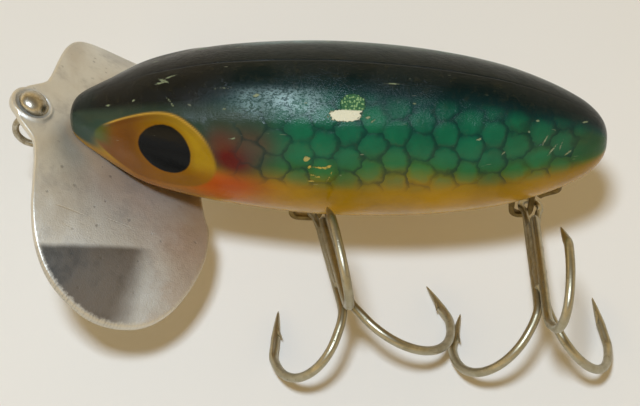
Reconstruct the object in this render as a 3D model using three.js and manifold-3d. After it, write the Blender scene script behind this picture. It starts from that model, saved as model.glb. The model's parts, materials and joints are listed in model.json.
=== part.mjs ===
// Wobbling surface plug: hollow moulded body, double-cupped sheet-metal lip, swivelling line tie
// and two treble hooks that turn on sheet-metal hangers. Millimetres, +Z up.
//
// Body frame, used for all the shapes below: x runs from the nose tip to the tail, y across the
// body to its right-hand side, z to its back. The whole plug is then leaned by LEAN about x, the
// way it sits on a table on its lip and hooks, and moved so that the middle of the bottom of its
// bounding box is the origin.
import * as THREE from 'three';
import { mergeVertices } from 'three/addons/utils/BufferGeometryUtils.js';
import Module from 'manifold-3d';

const wasm = await Module();
wasm.setup();

// ---- driving dimensions -------------------------------------------------------------------
const BODY_LENGTH = 76;          // three-inch body
const LEAN = 13;                 // degrees, left side up, when the plug sits on a table
const WALL = 1.7;                // moulded wall of the body
const SEAM = 0.12;               // gap between the two body halves
const GAP = 0.15;                // working gap between pieces that touch
const LIP_ANGLE = 28;            // lip plane to body axis, degrees
const LIP_THICK = 0.9;
const LIP_HALF_SPAN = 27.1;
const LIP_CUP = 7.2;             // how far the lobe tips are bent forward and down
const LIP_ORIGIN = [-5.42, 0, 1.26]; // centre of the lug on the lip's middle surface
const LUG_RADIUS = 3.2;
const STRAP_THICK = 0.8;
const STRAP_WIDTH = 6.2;
const BRIDGE_WIDTH = 0.95;
const HOOK_WIRE = 1.3;           // wire diameter of the trebles
const EYE_WIRE = 1.0;
const EYE_RADIUS = 1.45;         // centre line of the hook eye
const FRONT_EYE = [35.9, 0, -16.4];
const REAR_EYE = [66.8, 0, -13.75];

// body radius at stations along x
const PROFILE = [
  [0.0, 0.0], [0.35, 1.65], [0.95, 2.75], [2.2, 3.75], [4.2, 4.85], [6.9, 6.25], [10.4, 7.95], [14.6, 9.35],
  [19.8, 10.7], [26.2, 11.6], [32.0, 12.08], [37.0, 12.27], [42.0, 12.2], [47.2, 11.95], [52.0, 11.48],
  [57.3, 10.72], [62.0, 9.7], [66.4, 8.3], [70.2, 6.72], [73.0, 5.15], [74.8, 3.5], [75.7, 1.9], [BODY_LENGTH, 0.0],
];

// the lobe's edge: distance behind the lug centre (u) and half-width (v), front edge then rear edge
const LOBE_FRONT = [[0, -2.0], [3.3, -1.4], [4.3, -0.5], [5.3, 0.55], [6.3, 1.35], [7.5, 1.7], [9.2, 2.06], [13.0, 2.67], [17.1, 3.61], [20.8, 5.26], [23.7, 7.66], [25.4, 10.43], [26.7, 14.3], [27.1, 17.2]];
const LOBE_REAR = [[0, 26.4], [3.8, 27.3], [7.2, 28.14], [11.4, 29.31], [15.6, 29.12], [19.9, 28.08], [23.5, 26.28], [25.6, 23.84], [26.65, 20.88], [27.1, 17.8]];

// each hook: its direction away from the shank, then straight shank, gap, bend depth, lean-in and point length
const FRONT_TREBLE = {
  eye: FRONT_EYE, axis: [0.2047, -0.9735, 0.0935],
  hooks: [
    { out: [-0.641, -0.2117, -0.7378], shank: 18.57, gap: 13.93, bend: 8.45, lean: 2.74, point: 7.22 },
    { out: [0.8728, 0.1347, -0.4691], shank: 17.09, gap: 17.42, bend: 9.45, lean: 2.11, point: 6.27 },
    { out: [-0.1396, 0.0117, 0.9901], shank: 18.2, gap: 12.6, bend: 8.3, lean: 1.8, point: 4.8 },
  ],
};
const REAR_TREBLE = {
  eye: REAR_EYE, axis: [0.0328, -0.9991, 0.0279],
  hooks: [
    { out: [-0.6957, -0.0429, -0.7171], shank: 17.44, gap: 15.74, bend: 8.39, lean: 1.92, point: 5.37 },
    { out: [0.7032, 0.0033, -0.7109], shank: 16.97, gap: 14.63, bend: 8.4, lean: 2.1, point: 7.87 },
    { out: [0.1774, 0.0333, 0.9836], shank: 19.65, gap: 10.86, bend: 9.34, lean: 1.75, point: 5.12 },
  ],
};

// ---- small helpers ------------------------------------------------------------------------
const V = (x, y, z) => new THREE.Vector3(x, y, z);
const rad = THREE.MathUtils.degToRad;

function signedVolume(position, index) {
  let total = 0;
  const a = V(), b = V(), c = V();
  for (let i = 0; i < index.length; i += 3) {
    a.fromArray(position, 3 * index[i]); b.fromArray(position, 3 * index[i + 1]); c.fromArray(position, 3 * index[i + 2]);
    total += a.dot(b.cross(c)) / 6;
  }
  return total;
}

// a closed geometry with merged vertices, no degenerate triangles and its faces pointing out
function clean(geometry, tolerance = 1e-4) {
  let g = geometry.clone();
  for (const key of Object.keys(g.attributes)) if (key !== 'position') g.deleteAttribute(key);
  g = mergeVertices(g, tolerance);
  const position = g.attributes.position.array;
  const old = g.index.array, index = [];
  for (let i = 0; i < old.length; i += 3) {
    const [a, b, c] = [old[i], old[i + 1], old[i + 2]];
    if (a !== b && b !== c && c !== a) index.push(a, b, c);
  }
  if (signedVolume(position, index) < 0) for (let i = 0; i < index.length; i += 3) [index[i + 1], index[i + 2]] = [index[i + 2], index[i + 1]];
  g.setIndex(index);
  return g;
}

function solid(geometry) {
  const g = clean(geometry);
  return new wasm.Manifold(new wasm.Mesh({
    numProp: 3, vertProperties: new Float32Array(g.attributes.position.array), triVerts: new Uint32Array(g.index.array),
  }));
}

function geometryOf(manifold) {
  const mesh = manifold.getMesh();
  const g = new THREE.BufferGeometry();
  const position = new Float32Array(mesh.numVert * 3);
  for (let i = 0; i < mesh.numVert; i++) for (let k = 0; k < 3; k++) position[3 * i + k] = mesh.vertProperties[mesh.numProp * i + k];
  g.setAttribute('position', new THREE.BufferAttribute(position, 3));
  g.setIndex(new THREE.BufferAttribute(new Uint32Array(mesh.triVerts), 1));
  return g;
}

function mapped(geometry, f) {
  const g = geometry.clone(), p = g.attributes.position, v = V();
  for (let i = 0; i < p.count; i++) { v.fromBufferAttribute(p, i); f(v); p.setXYZ(i, v.x, v.y, v.z); }
  return g;
}

function interpolate(table, x) {
  if (x <= table[0][0]) return table[0][1];
  for (let i = 1; i < table.length; i++) if (x <= table[i][0]) {
    const [x0, y0] = table[i - 1], [x1, y1] = table[i];
    return y0 + (y1 - y0) * (x - x0) / (x1 - x0);
  }
  return table[table.length - 1][1];
}

// a round bar along a curve, with its radius as a function of the distance share along it
function bar(points, radius, steps, sides = 8, closed = false) {
  const curve = new THREE.CatmullRomCurve3(points, closed, 'centripetal');
  curve.arcLengthDivisions = 800;
  const frames = curve.computeFrenetFrames(steps, closed);
  if (closed) {
    const ring = new THREE.TubeGeometry(curve, steps, radius, sides, true);
    return clean(ring);
  }
  const g = new THREE.CylinderGeometry(1, 1, 1, sides, steps, false);
  return clean(mapped(g, (v) => {
    const t = Math.min(1, Math.max(0, v.y + 0.5)), k = Math.round(t * steps);
    const at = curve.getPointAt(k / steps), r = typeof radius === 'function' ? radius(k / steps) : radius;
    at.addScaledVector(frames.normals[k], v.x * r).addScaledVector(frames.binormals[k], v.z * r);
    v.copy(at);
  }));
}

// a turned shape: profile of [radius, height] points, standing on `base` along `axis`
function turned(profile, base, axis, sides = 16) {
  const g = new THREE.LatheGeometry(profile.map(([r, h]) => new THREE.Vector2(r, h)), sides);
  g.applyQuaternion(new THREE.Quaternion().setFromUnitVectors(V(0, 1, 0), axis.clone().normalize()));
  g.translate(base.x, base.y, base.z);
  return clean(g);
}

function cylinder(radius, from, to, sides = 16) {
  const axis = to.clone().sub(from), g = new THREE.CylinderGeometry(radius, radius, axis.length(), sides);
  g.applyQuaternion(new THREE.Quaternion().setFromUnitVectors(V(0, 1, 0), axis.clone().normalize()));
  const m = from.clone().add(to).multiplyScalar(0.5);
  g.translate(m.x, m.y, m.z);
  return g;
}

// ---- lip frame ----------------------------------------------------------------------------
const lipO = V(...LIP_ORIGIN);
const lipT = V(Math.cos(rad(LIP_ANGLE)), 0, -Math.sin(rad(LIP_ANGLE)));   // back along the lip
const lipN = V(-Math.sin(rad(LIP_ANGLE)), 0, -Math.cos(rad(LIP_ANGLE)));  // out of its front face
const cup = (v) => LIP_CUP * Math.pow(Math.max(0, Math.abs(v) - 2) / 25, 3);
const onLip = (u, v, w) => lipO.clone().addScaledVector(lipT, u).addScaledVector(V(0, 1, 0), v).addScaledVector(lipN, w);

// ---- body ---------------------------------------------------------------------------------
const profileCurve = new THREE.CatmullRomCurve3(PROFILE.map(([s, r]) => V(r, s, 0)), false, 'centripetal');
const bodyRadius = (() => {
  const pts = profileCurve.getPoints(600).map((p) => [p.y, Math.max(0, p.x)]).sort((a, b) => a[0] - b[0]);
  return (x) => interpolate(pts, x);
})();

// fuller cheeks under the eyes, and a raised brow over each eye
const bump = (x, middle, width) => Math.exp(-(((x - middle) / width) ** 2));
function swell(x, angle) { // angle from the belly line, 0 to pi
  const cheek = 0.75 * bump(x, 10.5, 7.5) * bump(angle, 0.95, 0.5);
  const brow = x > 4 && x < 21 ? 0.35 * bump(angle, Math.PI / 2 + 0.62 - 0.35 * bump(x, 20, 5), 0.16) * bump(x, 12, 6) : 0;
  return cheek + brow;
}

function bodyForm(inset, sides, stations) {
  const x0 = inset ? 2.6 : 0, x1 = inset ? BODY_LENGTH - 2.2 : BODY_LENGTH;
  const pts = [];
  for (let i = 0; i <= stations; i++) {
    const t = 0.5 - 0.5 * Math.cos(Math.PI * Math.pow(i / stations, 0.92));
    const x = x0 + (x1 - x0) * t;
    pts.push(new THREE.Vector2(i === 0 || i === stations ? 0 : Math.max(0.05, bodyRadius(x) - inset), x));
  }
  const g = new THREE.LatheGeometry(pts, sides);
  g.rotateZ(-Math.PI / 2);
  return clean(mapped(g, (v) => {
    const r = Math.hypot(v.y, v.z);
    if (r < 1e-6) return;
    const angle = Math.acos(Math.max(-1, Math.min(1, -v.z / r))), e = swell(v.x, angle) * Math.min(1, r / 3);
    v.y *= (r + e) / r; v.z *= (r + e) / r;
  }));
}

const halfSpace = (side) => { // everything on one side of the seam
  const g = new THREE.BoxGeometry(120, 40, 60);
  g.translate(40, side * (20 + SEAM / 2), 0);
  return solid(g);
};
const underLip = solid(mapped(new THREE.BoxGeometry(70, 80, 40), (v) => {
  v.copy(onLip(v.x + 20, v.y, v.z + 20 - LIP_THICK / 2 - GAP));
}));

// ---- hangers: strap shape in the x-z plane --------------------------------------------------
// span: between the two upright legs; front and rear: how far the tabs run beyond them
function hanger(eye, span, front, rear) {
  const rearLeg = eye[0], frontLeg = rearLeg - span, t = STRAP_THICK / 2;
  const belly = (x) => -(bodyRadius(x) + GAP + t + 0.02);
  const bottom = eye[2] - EYE_WIRE / 2 - 0.5 - t;
  const tab = (from, to) => [[from, belly(from)], [to, belly(to)]];
  const round = 0.9;
  const middle = [];
  const [f0, f1] = tab(frontLeg - front, frontLeg - round);
  middle.push(f0, f1);
  const fz = belly(frontLeg), rz = belly(rearLeg);
  middle.push([frontLeg - 0.25, fz - 0.3], [frontLeg, fz - 0.9], [frontLeg, bottom + round], [frontLeg + 0.27, bottom + 0.27], [frontLeg + round, bottom]);
  middle.push([rearLeg - round, bottom], [rearLeg - 0.27, bottom + 0.27], [rearLeg, bottom + round], [rearLeg, rz - 0.9], [rearLeg + 0.25, rz - 0.3]);
  const [r0, r1] = tab(rearLeg + round, rearLeg + rear);
  middle.push(r0, r1);
  // thicken the centre line
  const left = [], right = [];
  for (let i = 0; i < middle.length; i++) {
    const p = middle[Math.max(0, i - 1)], q = middle[Math.min(middle.length - 1, i + 1)], m = middle[i];
    let n1 = null, n2 = null;
    if (i > 0) { const l = Math.hypot(m[0] - p[0], m[1] - p[1]); n1 = [-(m[1] - p[1]) / l, (m[0] - p[0]) / l]; }
    if (i < middle.length - 1) { const l = Math.hypot(q[0] - m[0], q[1] - m[1]); n2 = [-(q[1] - m[1]) / l, (q[0] - m[0]) / l]; }
    n1 = n1 || n2; n2 = n2 || n1;
    const s = [n1[0] + n2[0], n1[1] + n2[1]], l2 = Math.hypot(...s), k = 2 / (l2 * l2) * t;
    left.push([m[0] + s[0] * k, m[1] + s[1] * k]);
    right.push([m[0] - s[0] * k, m[1] - s[1] * k]);
  }
  const outline = [...left, ...right.reverse()];
  const extrude = (width) => {
    const g = new THREE.ExtrudeGeometry(new THREE.Shape(outline.map(([a, b]) => new THREE.Vector2(a, b))), { depth: width, bevelEnabled: false });
    g.translate(0, 0, -width / 2);
    g.rotateX(Math.PI / 2);
    return solid(g);
  };
  const wide = extrude(STRAP_WIDTH), narrow = extrude(BRIDGE_WIDTH);
  const box = (x0, x1) => { const g = new THREE.BoxGeometry(x1 - x0, 10, 40); g.translate((x0 + x1) / 2, 0, -12); return solid(g); };
  const screwX = [frontLeg - front * 0.55, rearLeg + rear * 0.58];
  let strap = narrow.add(wide.intersect(box(0, frontLeg - 0.75))).add(wide.intersect(box(rearLeg + 0.75, 90)));
  const screws = screwX.map((x, k) => {
    const [a, b] = k ? [r0, r1] : [f0, f1];
    const slope = (b[1] - a[1]) / (b[0] - a[0]);
    const into = V(-slope, 0, 1).normalize();
    const seat = V(x, 0, a[1] + slope * (x - a[0])).addScaledVector(into, -t); // outer face of the tab
    return { seat, into };
  });
  for (const s of screws) strap = strap.subtract(solid(cylinder(0.72, s.seat.clone().addScaledVector(s.into, -2), s.seat.clone().addScaledVector(s.into, 3), 14)));
  return { strap, screws };
}

// a small round-head screw with a straight slot
function screw({ seat, into }, headRadius, headHeight, shaftRadius, length, slotAxis) {
  const h = headHeight, r = headRadius;
  const profile = [
    [0, -h - GAP], [r * 0.45, -h * 0.95 - GAP], [r * 0.82, -h * 0.62 - GAP], [r, -GAP - 0.18], [r, -GAP],
    [shaftRadius, -GAP], [shaftRadius, length * 0.78], [0, length],
  ];
  let m = solid(turned(profile, seat, into, 14));
  const slot = new THREE.BoxGeometry(2.4 * r, 0.8, 0.34);
  const basis = new THREE.Matrix4().makeBasis(slotAxis.clone(), into.clone(), V().crossVectors(slotAxis, into));
  slot.applyMatrix4(basis);
  const top = seat.clone().addScaledVector(into, -h - GAP);
  slot.translate(top.x, top.y, top.z);
  m = m.subtract(solid(slot));
  return m;
}

const frontHanger = hanger(FRONT_EYE, 4.2, 4.0, 4.2);
const rearHanger = hanger(REAR_EYE, 2.8, 4.0, 3.6);
const lipScrews = [8.4, 13.2].map((u) => ({ seat: onLip(u, 0, LIP_THICK / 2), into: lipN.clone().negate() }));
const SCREW = { head: 1.35, height: 0.75, shaft: 0.55, length: 5.2 };
const LIP_SCREW = { head: 1.9, height: 1.0, shaft: 0.75, length: 7.0 };
const allScrews = [
  ...frontHanger.screws.map((s) => ({ ...s, size: SCREW })), ...rearHanger.screws.map((s) => ({ ...s, size: SCREW })),
  ...lipScrews.map((s) => ({ ...s, size: LIP_SCREW })),
];

let outer = solid(bodyForm(0, 36, 28)).subtract(underLip);
let hollow = solid(bodyForm(WALL, 20, 16));
hollow = hollow.subtract(solid(mapped(new THREE.BoxGeometry(70, 80, 40), (v) => {
  v.copy(onLip(v.x + 20, v.y, v.z + 20 - LIP_THICK / 2 - GAP - 2.0));
})));
for (const s of allScrews) { // screw bosses stay solid inside the hollow
  const end = s.seat.clone().addScaledVector(s.into, s.size.length + 1.6);
  hollow = hollow.subtract(solid(cylinder(s.size.shaft + 1.4, s.seat, end, 12)));
}
for (const s of allScrews) {
  const end = s.seat.clone().addScaledVector(s.into, s.size.length + 0.25);
  outer = outer.subtract(solid(cylinder(s.size.shaft + 0.12, s.seat.clone().addScaledVector(s.into, -1), end, 12)));
}
const shell = outer.subtract(hollow);
const bodyLeft = shell.intersect(halfSpace(-1));
const bodyRight = shell.intersect(halfSpace(1));

// ---- lip ----------------------------------------------------------------------------------
const flatLip = mapped(new THREE.BoxGeometry(1, 2, 1, 8, 40, 1), (p) => {
  const s = Math.max(-1, Math.min(1, p.y)), v = LIP_HALF_SPAN * 0.999 * Math.sin(s * Math.PI / 2 * 0.999), a = Math.abs(v);
  const u0 = interpolate(LOBE_FRONT, a), u1 = interpolate(LOBE_REAR, a);
  const u = u0 + (u1 - u0) * (p.x + 0.5);
  p.set(u, v, p.z * LIP_THICK);
});
let lipFlat = solid(flatLip);
const lug = new THREE.CylinderGeometry(LUG_RADIUS, LUG_RADIUS, LIP_THICK, 24); lug.rotateX(Math.PI / 2);
lipFlat = lipFlat.add(solid(lug));
const rim = new THREE.TorusGeometry(LUG_RADIUS - 0.37, 0.36, 8, 28); rim.translate(0, 0, -LIP_THICK / 2 - 0.02);
lipFlat = lipFlat.add(solid(rim));
const pinHole = new THREE.CylinderGeometry(0.85, 0.85, 8, 16); pinHole.rotateX(Math.PI / 2);
lipFlat = lipFlat.subtract(solid(pinHole));
for (const u of [8.4, 13.2]) { const h = new THREE.CylinderGeometry(0.95, 0.95, 8, 16); h.rotateX(Math.PI / 2); h.translate(u, 0, 0); lipFlat = lipFlat.subtract(solid(h)); }
const lipPlate = clean(mapped(geometryOf(lipFlat), (p) => { p.copy(onLip(p.x, p.y, p.z + cup(p.y))); }), 1e-5);

// ---- line tie: a wire eye with its shank through the lug, headed over under a dome -----------
const eyeCentre = lipO.clone().add(V(0.1, 0, -4.35));
const EYE_R = 2.65, TIE_WIRE = 1.0;
const tiePath = [];
for (const w of [-0.75, -0.2, 0.35, 0.8]) tiePath.push(onLip(0, 0, w));
const startAngle = rad(62);
const circlePoint = (a) => eyeCentre.clone().add(V(-Math.cos(a) * EYE_R, 0, Math.sin(a) * EYE_R));
for (let i = 0; i <= 20; i++) tiePath.push(circlePoint(startAngle - rad(330) * i / 20));
const tieEye = bar(tiePath, TIE_WIRE / 2, 46, 8);
const tieWasher = turned([[0.95, 0], [1.75, 0], [1.75, 0.3], [0.95, 0.3], [0.95, 0]], onLip(0, 0, LIP_THICK / 2 + 0.06), lipN, 16);
const domeBase = onLip(0, 0, -(LIP_THICK / 2 + GAP));
const tieDome = turned([[0.68, 0], [2.0, 0], [2.12, 0.28], [1.98, 0.85], [1.5, 1.32], [0.75, 1.56], [0, 1.62], [0, 0.5], [0.68, 0.5], [0.68, 0]], domeBase, lipN.clone().negate(), 20);

// ---- trebles ------------------------------------------------------------------------------
const SHANKS = [[-0.44, 0.62], [-0.44, -0.62], [0.95, 0]]; // cross-section places of the three shanks
function treble({ eye, axis, hooks }) {
  const d = V(...axis).normalize(), third = V(...hooks[2].out), E = V(...eye);
  third.addScaledVector(d, -third.dot(d)).normalize();
  let across = V().crossVectors(d, third).normalize();
  if (across.dot(V(...hooks[0].out)) < 0) across.negate();
  const wires = hooks.map((h, k) => {
    const out = V(...h.out); out.addScaledVector(d, -out.dot(d)).normalize();
    const foot = V().addScaledVector(third, SHANKS[k][0]).addScaledVector(across, SHANKS[k][1]);
    const at = (g, f) => {
      const s = Math.min(1, Math.max(0, (g - 0.75) / 1.5));
      return E.clone().addScaledVector(d, f).addScaledVector(foot, 1 - s).addScaledVector(out, g * s);
    };
    const pts = [];
    const start = k === 2 ? 3.6 : 2.5;
    for (let i = 0; i <= 3; i++) pts.push(at(0.75, start + (h.shank - start) * i / 4));
    const n = 16;
    for (let i = 1; i <= n; i++) { const a = Math.PI * i / n; pts.push(at(0.75 + h.gap / 2 - h.gap / 2 * Math.cos(a), h.shank + h.bend * Math.sin(a))); }
    for (let i = 1; i <= 4; i++) { const s = i / 4; pts.push(at(0.75 + h.gap - h.lean * s, h.shank - h.point * s)); }
    const curve = new THREE.CatmullRomCurve3(pts, false, 'centripetal'); curve.arcLengthDivisions = 800;
    const length = curve.getLength(), r = HOOK_WIRE / 2;
    const wire = solid(bar(pts, (t) => { const left = (1 - t) * length; return left > 4.2 ? r : 0.1 + (r - 0.1) * Math.pow(left / 4.2, 0.8); }, 34, 8));
    // the barb: a spur lifted off the inner side of the point, its free end looking back to the bend
    const p0 = curve.getPointAt(1 - 2.9 / length), p1 = curve.getPointAt(1 - 5.5 / length);
    const inward = out.clone().negate();
    const spur = bar([p0, p0.clone().lerp(p1, 0.5).addScaledVector(inward, 0.6), p1.clone().addScaledVector(inward, 1.42)], (t) => 0.36 * (1 - t) + 0.07, 4, 6);
    return { solid: wire.add(solid(spur)) };
  });
  const ringPts = [];
  for (let i = 0; i < 20; i++) { const a = 2 * Math.PI * i / 20; ringPts.push(E.clone().addScaledVector(d, EYE_RADIUS * Math.cos(a)).addScaledVector(across, EYE_RADIUS * Math.sin(a))); }
  const ring = solid(bar(ringPts, EYE_WIRE / 2, 20, 8, true));
  // the two shanks of the double hook run up to the ring
  const necks = [1, -1].map((side) => solid(bar([
    E.clone().addScaledVector(d, 1.25).addScaledVector(across, side * 1.08),
    E.clone().addScaledVector(d, 2.1).addScaledVector(across, side * 0.8).addScaledVector(third, -0.2),
    E.clone().addScaledVector(d, 3.0).addScaledVector(across, side * 0.56).addScaledVector(third, -0.42),
    E.clone().addScaledVector(d, 4.0).addScaledVector(across, side * 0.56).addScaledVector(third, -0.42),
  ], (t) => EYE_WIRE / 2 + (HOOK_WIRE - EYE_WIRE) / 2 * t - 0.01, 6, 8)));
  const double = ring.add(necks[0]).add(necks[1]).add(wires[0].solid).add(wires[1].solid);
  const around = wires[2].solid;
  return { double, single: around.subtract(double) };
}
const frontTreble = treble(FRONT_TREBLE);
const rearTreble = treble(REAR_TREBLE);

// ---- the scene graph ----------------------------------------------------------------------
const plug = new THREE.Group();
const leaned = new THREE.Group();
leaned.rotation.x = rad(-LEAN);
plug.add(leaned);

const finish = {
  paintLeft: { color: 0x1f6b52, roughness: 0.35, metalness: 0.0 },
  paintRight: { color: 0x1f6b52, roughness: 0.35, metalness: 0.0 },
  lip: { color: 0xb4afa0, roughness: 0.38, metalness: 0.9 },
  screw: { color: 0x9a917c, roughness: 0.35, metalness: 0.95 },
  tie: { color: 0xb9b2a2, roughness: 0.3, metalness: 1.0 },
  strap: { color: 0x9b8a3c, roughness: 0.45, metalness: 0.6 },
  hook: { color: 0x6b6347, roughness: 0.33, metalness: 0.95 },
};
function add(name, geometry, look) {
  const g = geometry.isBufferGeometry ? geometry : geometryOf(geometry);
  g.computeVertexNormals();
  const mesh = new THREE.Mesh(g, new THREE.MeshStandardMaterial(look));
  mesh.name = name;
  leaned.add(mesh);
}

add('body_left_half', bodyLeft, finish.paintLeft);
add('body_right_half', bodyRight, finish.paintRight);
add('lip_plate', lipPlate, finish.lip);
const sideways = V(0, 1, 0);
add('lip_screw_front', screw(lipScrews[0], LIP_SCREW.head, LIP_SCREW.height, LIP_SCREW.shaft, LIP_SCREW.length, sideways), finish.screw);
add('lip_screw_rear', screw(lipScrews[1], LIP_SCREW.head, LIP_SCREW.height, LIP_SCREW.shaft, LIP_SCREW.length, sideways), finish.screw);
add('line_tie_eye', tieEye, finish.tie);
add('line_tie_dome', tieDome, finish.tie);
add('line_tie_washer', tieWasher, finish.tie);
add('front_hanger_strap', frontHanger.strap, finish.strap);
add('front_hanger_screw_a', screw(frontHanger.screws[0], SCREW.head, SCREW.height, SCREW.shaft, SCREW.length, sideways), finish.screw);
add('front_hanger_screw_b', screw(frontHanger.screws[1], SCREW.head, SCREW.height, SCREW.shaft, SCREW.length, sideways), finish.screw);
add('rear_hanger_strap', rearHanger.strap, finish.strap);
add('rear_hanger_screw_a', screw(rearHanger.screws[0], SCREW.head, SCREW.height, SCREW.shaft, SCREW.length, sideways), finish.screw);
add('rear_hanger_screw_b', screw(rearHanger.screws[1], SCREW.head, SCREW.height, SCREW.shaft, SCREW.length, sideways), finish.screw);
add('front_treble_double_hook', frontTreble.double, finish.hook);
add('front_treble_single_hook', frontTreble.single, finish.hook);
add('rear_treble_double_hook', rearTreble.double, finish.hook);
add('rear_treble_single_hook', rearTreble.single, finish.hook);

plug.updateMatrixWorld(true);
const box = new THREE.Box3().setFromObject(plug, true);
plug.position.set(-(box.min.x + box.max.x) / 2, -(box.min.y + box.max.y) / 2, -box.min.z);
plug.updateMatrixWorld(true);

export default plug;
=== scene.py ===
import bpy
import json
import math
import numpy as np
from mathutils import Matrix, Vector
from mathutils.geometry import delaunay_2d_cdt


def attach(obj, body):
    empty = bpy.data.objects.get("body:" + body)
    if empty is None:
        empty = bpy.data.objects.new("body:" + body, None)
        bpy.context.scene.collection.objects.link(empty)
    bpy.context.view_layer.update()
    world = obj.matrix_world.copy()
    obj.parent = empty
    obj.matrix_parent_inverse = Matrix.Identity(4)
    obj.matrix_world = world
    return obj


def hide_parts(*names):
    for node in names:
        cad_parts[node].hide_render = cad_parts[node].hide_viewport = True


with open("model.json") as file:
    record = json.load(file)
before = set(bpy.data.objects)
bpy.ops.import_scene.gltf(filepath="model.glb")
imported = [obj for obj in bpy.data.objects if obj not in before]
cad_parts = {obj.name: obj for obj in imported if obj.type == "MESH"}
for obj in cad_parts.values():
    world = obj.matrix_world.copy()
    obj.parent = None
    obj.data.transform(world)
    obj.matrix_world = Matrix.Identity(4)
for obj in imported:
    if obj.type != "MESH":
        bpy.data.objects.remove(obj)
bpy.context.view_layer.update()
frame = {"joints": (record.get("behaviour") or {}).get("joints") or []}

# ------------------------------------------------------------------------------------------
# frames: everything is worked out in the plug's own frame (mm): x nose to tail, y to its right
# side, z to its back. The row frame is that frame leaned about x and moved.
# ------------------------------------------------------------------------------------------
LEAN = math.radians(13)
ROT = np.array([[1, 0, 0], [0, math.cos(LEAN), math.sin(LEAN)], [0, -math.sin(LEAN), math.cos(LEAN)]])
LIP_O = np.array([-5.42, 0.0, 1.26])
_tie = [j for j in frame["joints"] if j["name"] == "line_tie_swivel"][0]
OFF = np.array(_tie["pos_m"]) * 1000 - ROT @ LIP_O


def to_row(p):
    return (np.atleast_2d(np.asarray(p, float)) @ ROT.T + OFF) * 0.001


def unit(v):
    v = np.asarray(v, float)
    return v / np.linalg.norm(v)


def srgb(r, g, b):
    out = []
    for c in (r, g, b):
        c = c / 255.0
        out.append(c / 12.92 if c <= 0.04045 else ((c + 0.055) / 1.055) ** 2.4)
    return tuple(out)


def smooth(a, b, x):
    t = np.clip((x - a) / (b - a), 0, 1)
    return t * t * (3 - 2 * t)


def curve(points, n, closed=False, per=40):
    """A centripetal Catmull-Rom curve through the points, resampled to n even steps (n + 1 points, or n if closed)."""
    p = np.asarray(points, float)
    if closed:
        q = np.vstack([p[-1], p, p[0], p[1]])
    else:
        q = np.vstack([2 * p[0] - p[1], p, 2 * p[-1] - p[-2]])
    out = []
    for i in range(1, len(q) - 2):
        p0, p1, p2, p3 = q[i - 1], q[i], q[i + 1], q[i + 2]
        t0 = 0.0
        t1 = t0 + max(np.linalg.norm(p1 - p0), 1e-9) ** 0.5
        t2 = t1 + max(np.linalg.norm(p2 - p1), 1e-9) ** 0.5
        t3 = t2 + max(np.linalg.norm(p3 - p2), 1e-9) ** 0.5
        t = np.linspace(t1, t2, per, endpoint=False)[:, None]
        a1 = (t1 - t) / (t1 - t0) * p0 + (t - t0) / (t1 - t0) * p1
        a2 = (t2 - t) / (t2 - t1) * p1 + (t - t1) / (t2 - t1) * p2
        a3 = (t3 - t) / (t3 - t2) * p2 + (t - t2) / (t3 - t2) * p3
        b1 = (t2 - t) / (t2 - t0) * a1 + (t - t0) / (t2 - t0) * a2
        b2 = (t3 - t) / (t3 - t1) * a2 + (t - t1) / (t3 - t1) * a3
        out.append((t2 - t) / (t2 - t1) * b1 + (t - t1) / (t2 - t1) * b2)
    out.append((p[0] if closed else p[-1])[None, :])
    c = np.vstack(out)
    d = np.concatenate([[0], np.cumsum(np.linalg.norm(np.diff(c, axis=0), axis=1))])
    s = np.linspace(0, d[-1], n + 1)
    if closed:
        s = s[:-1]
    return np.stack([np.interp(s, d, c[:, k]) for k in range(c.shape[1])], 1), d[-1]


# ------------------------------------------------------------------------------------------
# mesh helpers
# ------------------------------------------------------------------------------------------
def piece(name, verts, faces, material, body, stands_for=(), flat=(), floats=None, colors=None, uv=None):
    me = bpy.data.meshes.new(name)
    me.from_pydata([tuple(v) for v in to_row(verts)], [], [tuple(int(i) for i in f) for f in faces])
    me.validate(verbose=False)
    me.polygons.foreach_set("use_smooth", [True] * len(me.polygons))
    for i in flat:
        me.polygons[i].use_smooth = False
    for key, values in (floats or {}).items():
        a = me.attributes.new(key, "FLOAT", "POINT")
        a.data.foreach_set("value", np.asarray(values, np.float32))
    for key, values in (colors or {}).items():
        a = me.color_attributes.new(key, "FLOAT_COLOR", "POINT")
        rgba = np.ones((len(verts), 4), np.float32)
        rgba[:, :3] = values
        a.data.foreach_set("color", rgba.ravel())
    if uv is not None:
        layer = me.uv_layers.new(name="surface")
        loops = np.zeros(len(me.loops), np.int32)
        me.loops.foreach_get("vertex_index", loops)
        layer.data.foreach_set("uv", np.asarray(uv, np.float32)[loops].ravel())
    me.update()
    o = bpy.data.objects.new(name, me)
    bpy.context.scene.collection.objects.link(o)
    me.materials.append(material)
    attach(o, body)
    if stands_for:
        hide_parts(*stands_for)
    return o


def join_parts(parts):
    verts, faces, n = [], [], 0
    for v, f in parts:
        verts.append(np.asarray(v, float))
        faces += [tuple(i + n for i in face) for face in f]
        n += len(v)
    return np.vstack(verts), faces


def outward(verts, faces):
    v = np.asarray(verts, float)
    total = 0.0
    for f in faces:
        for k in range(1, len(f) - 1):
            total += np.dot(v[f[0]], np.cross(v[f[k]], v[f[k + 1]]))
    return faces if total > 0 else [tuple(reversed(f)) for f in faces]


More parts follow.
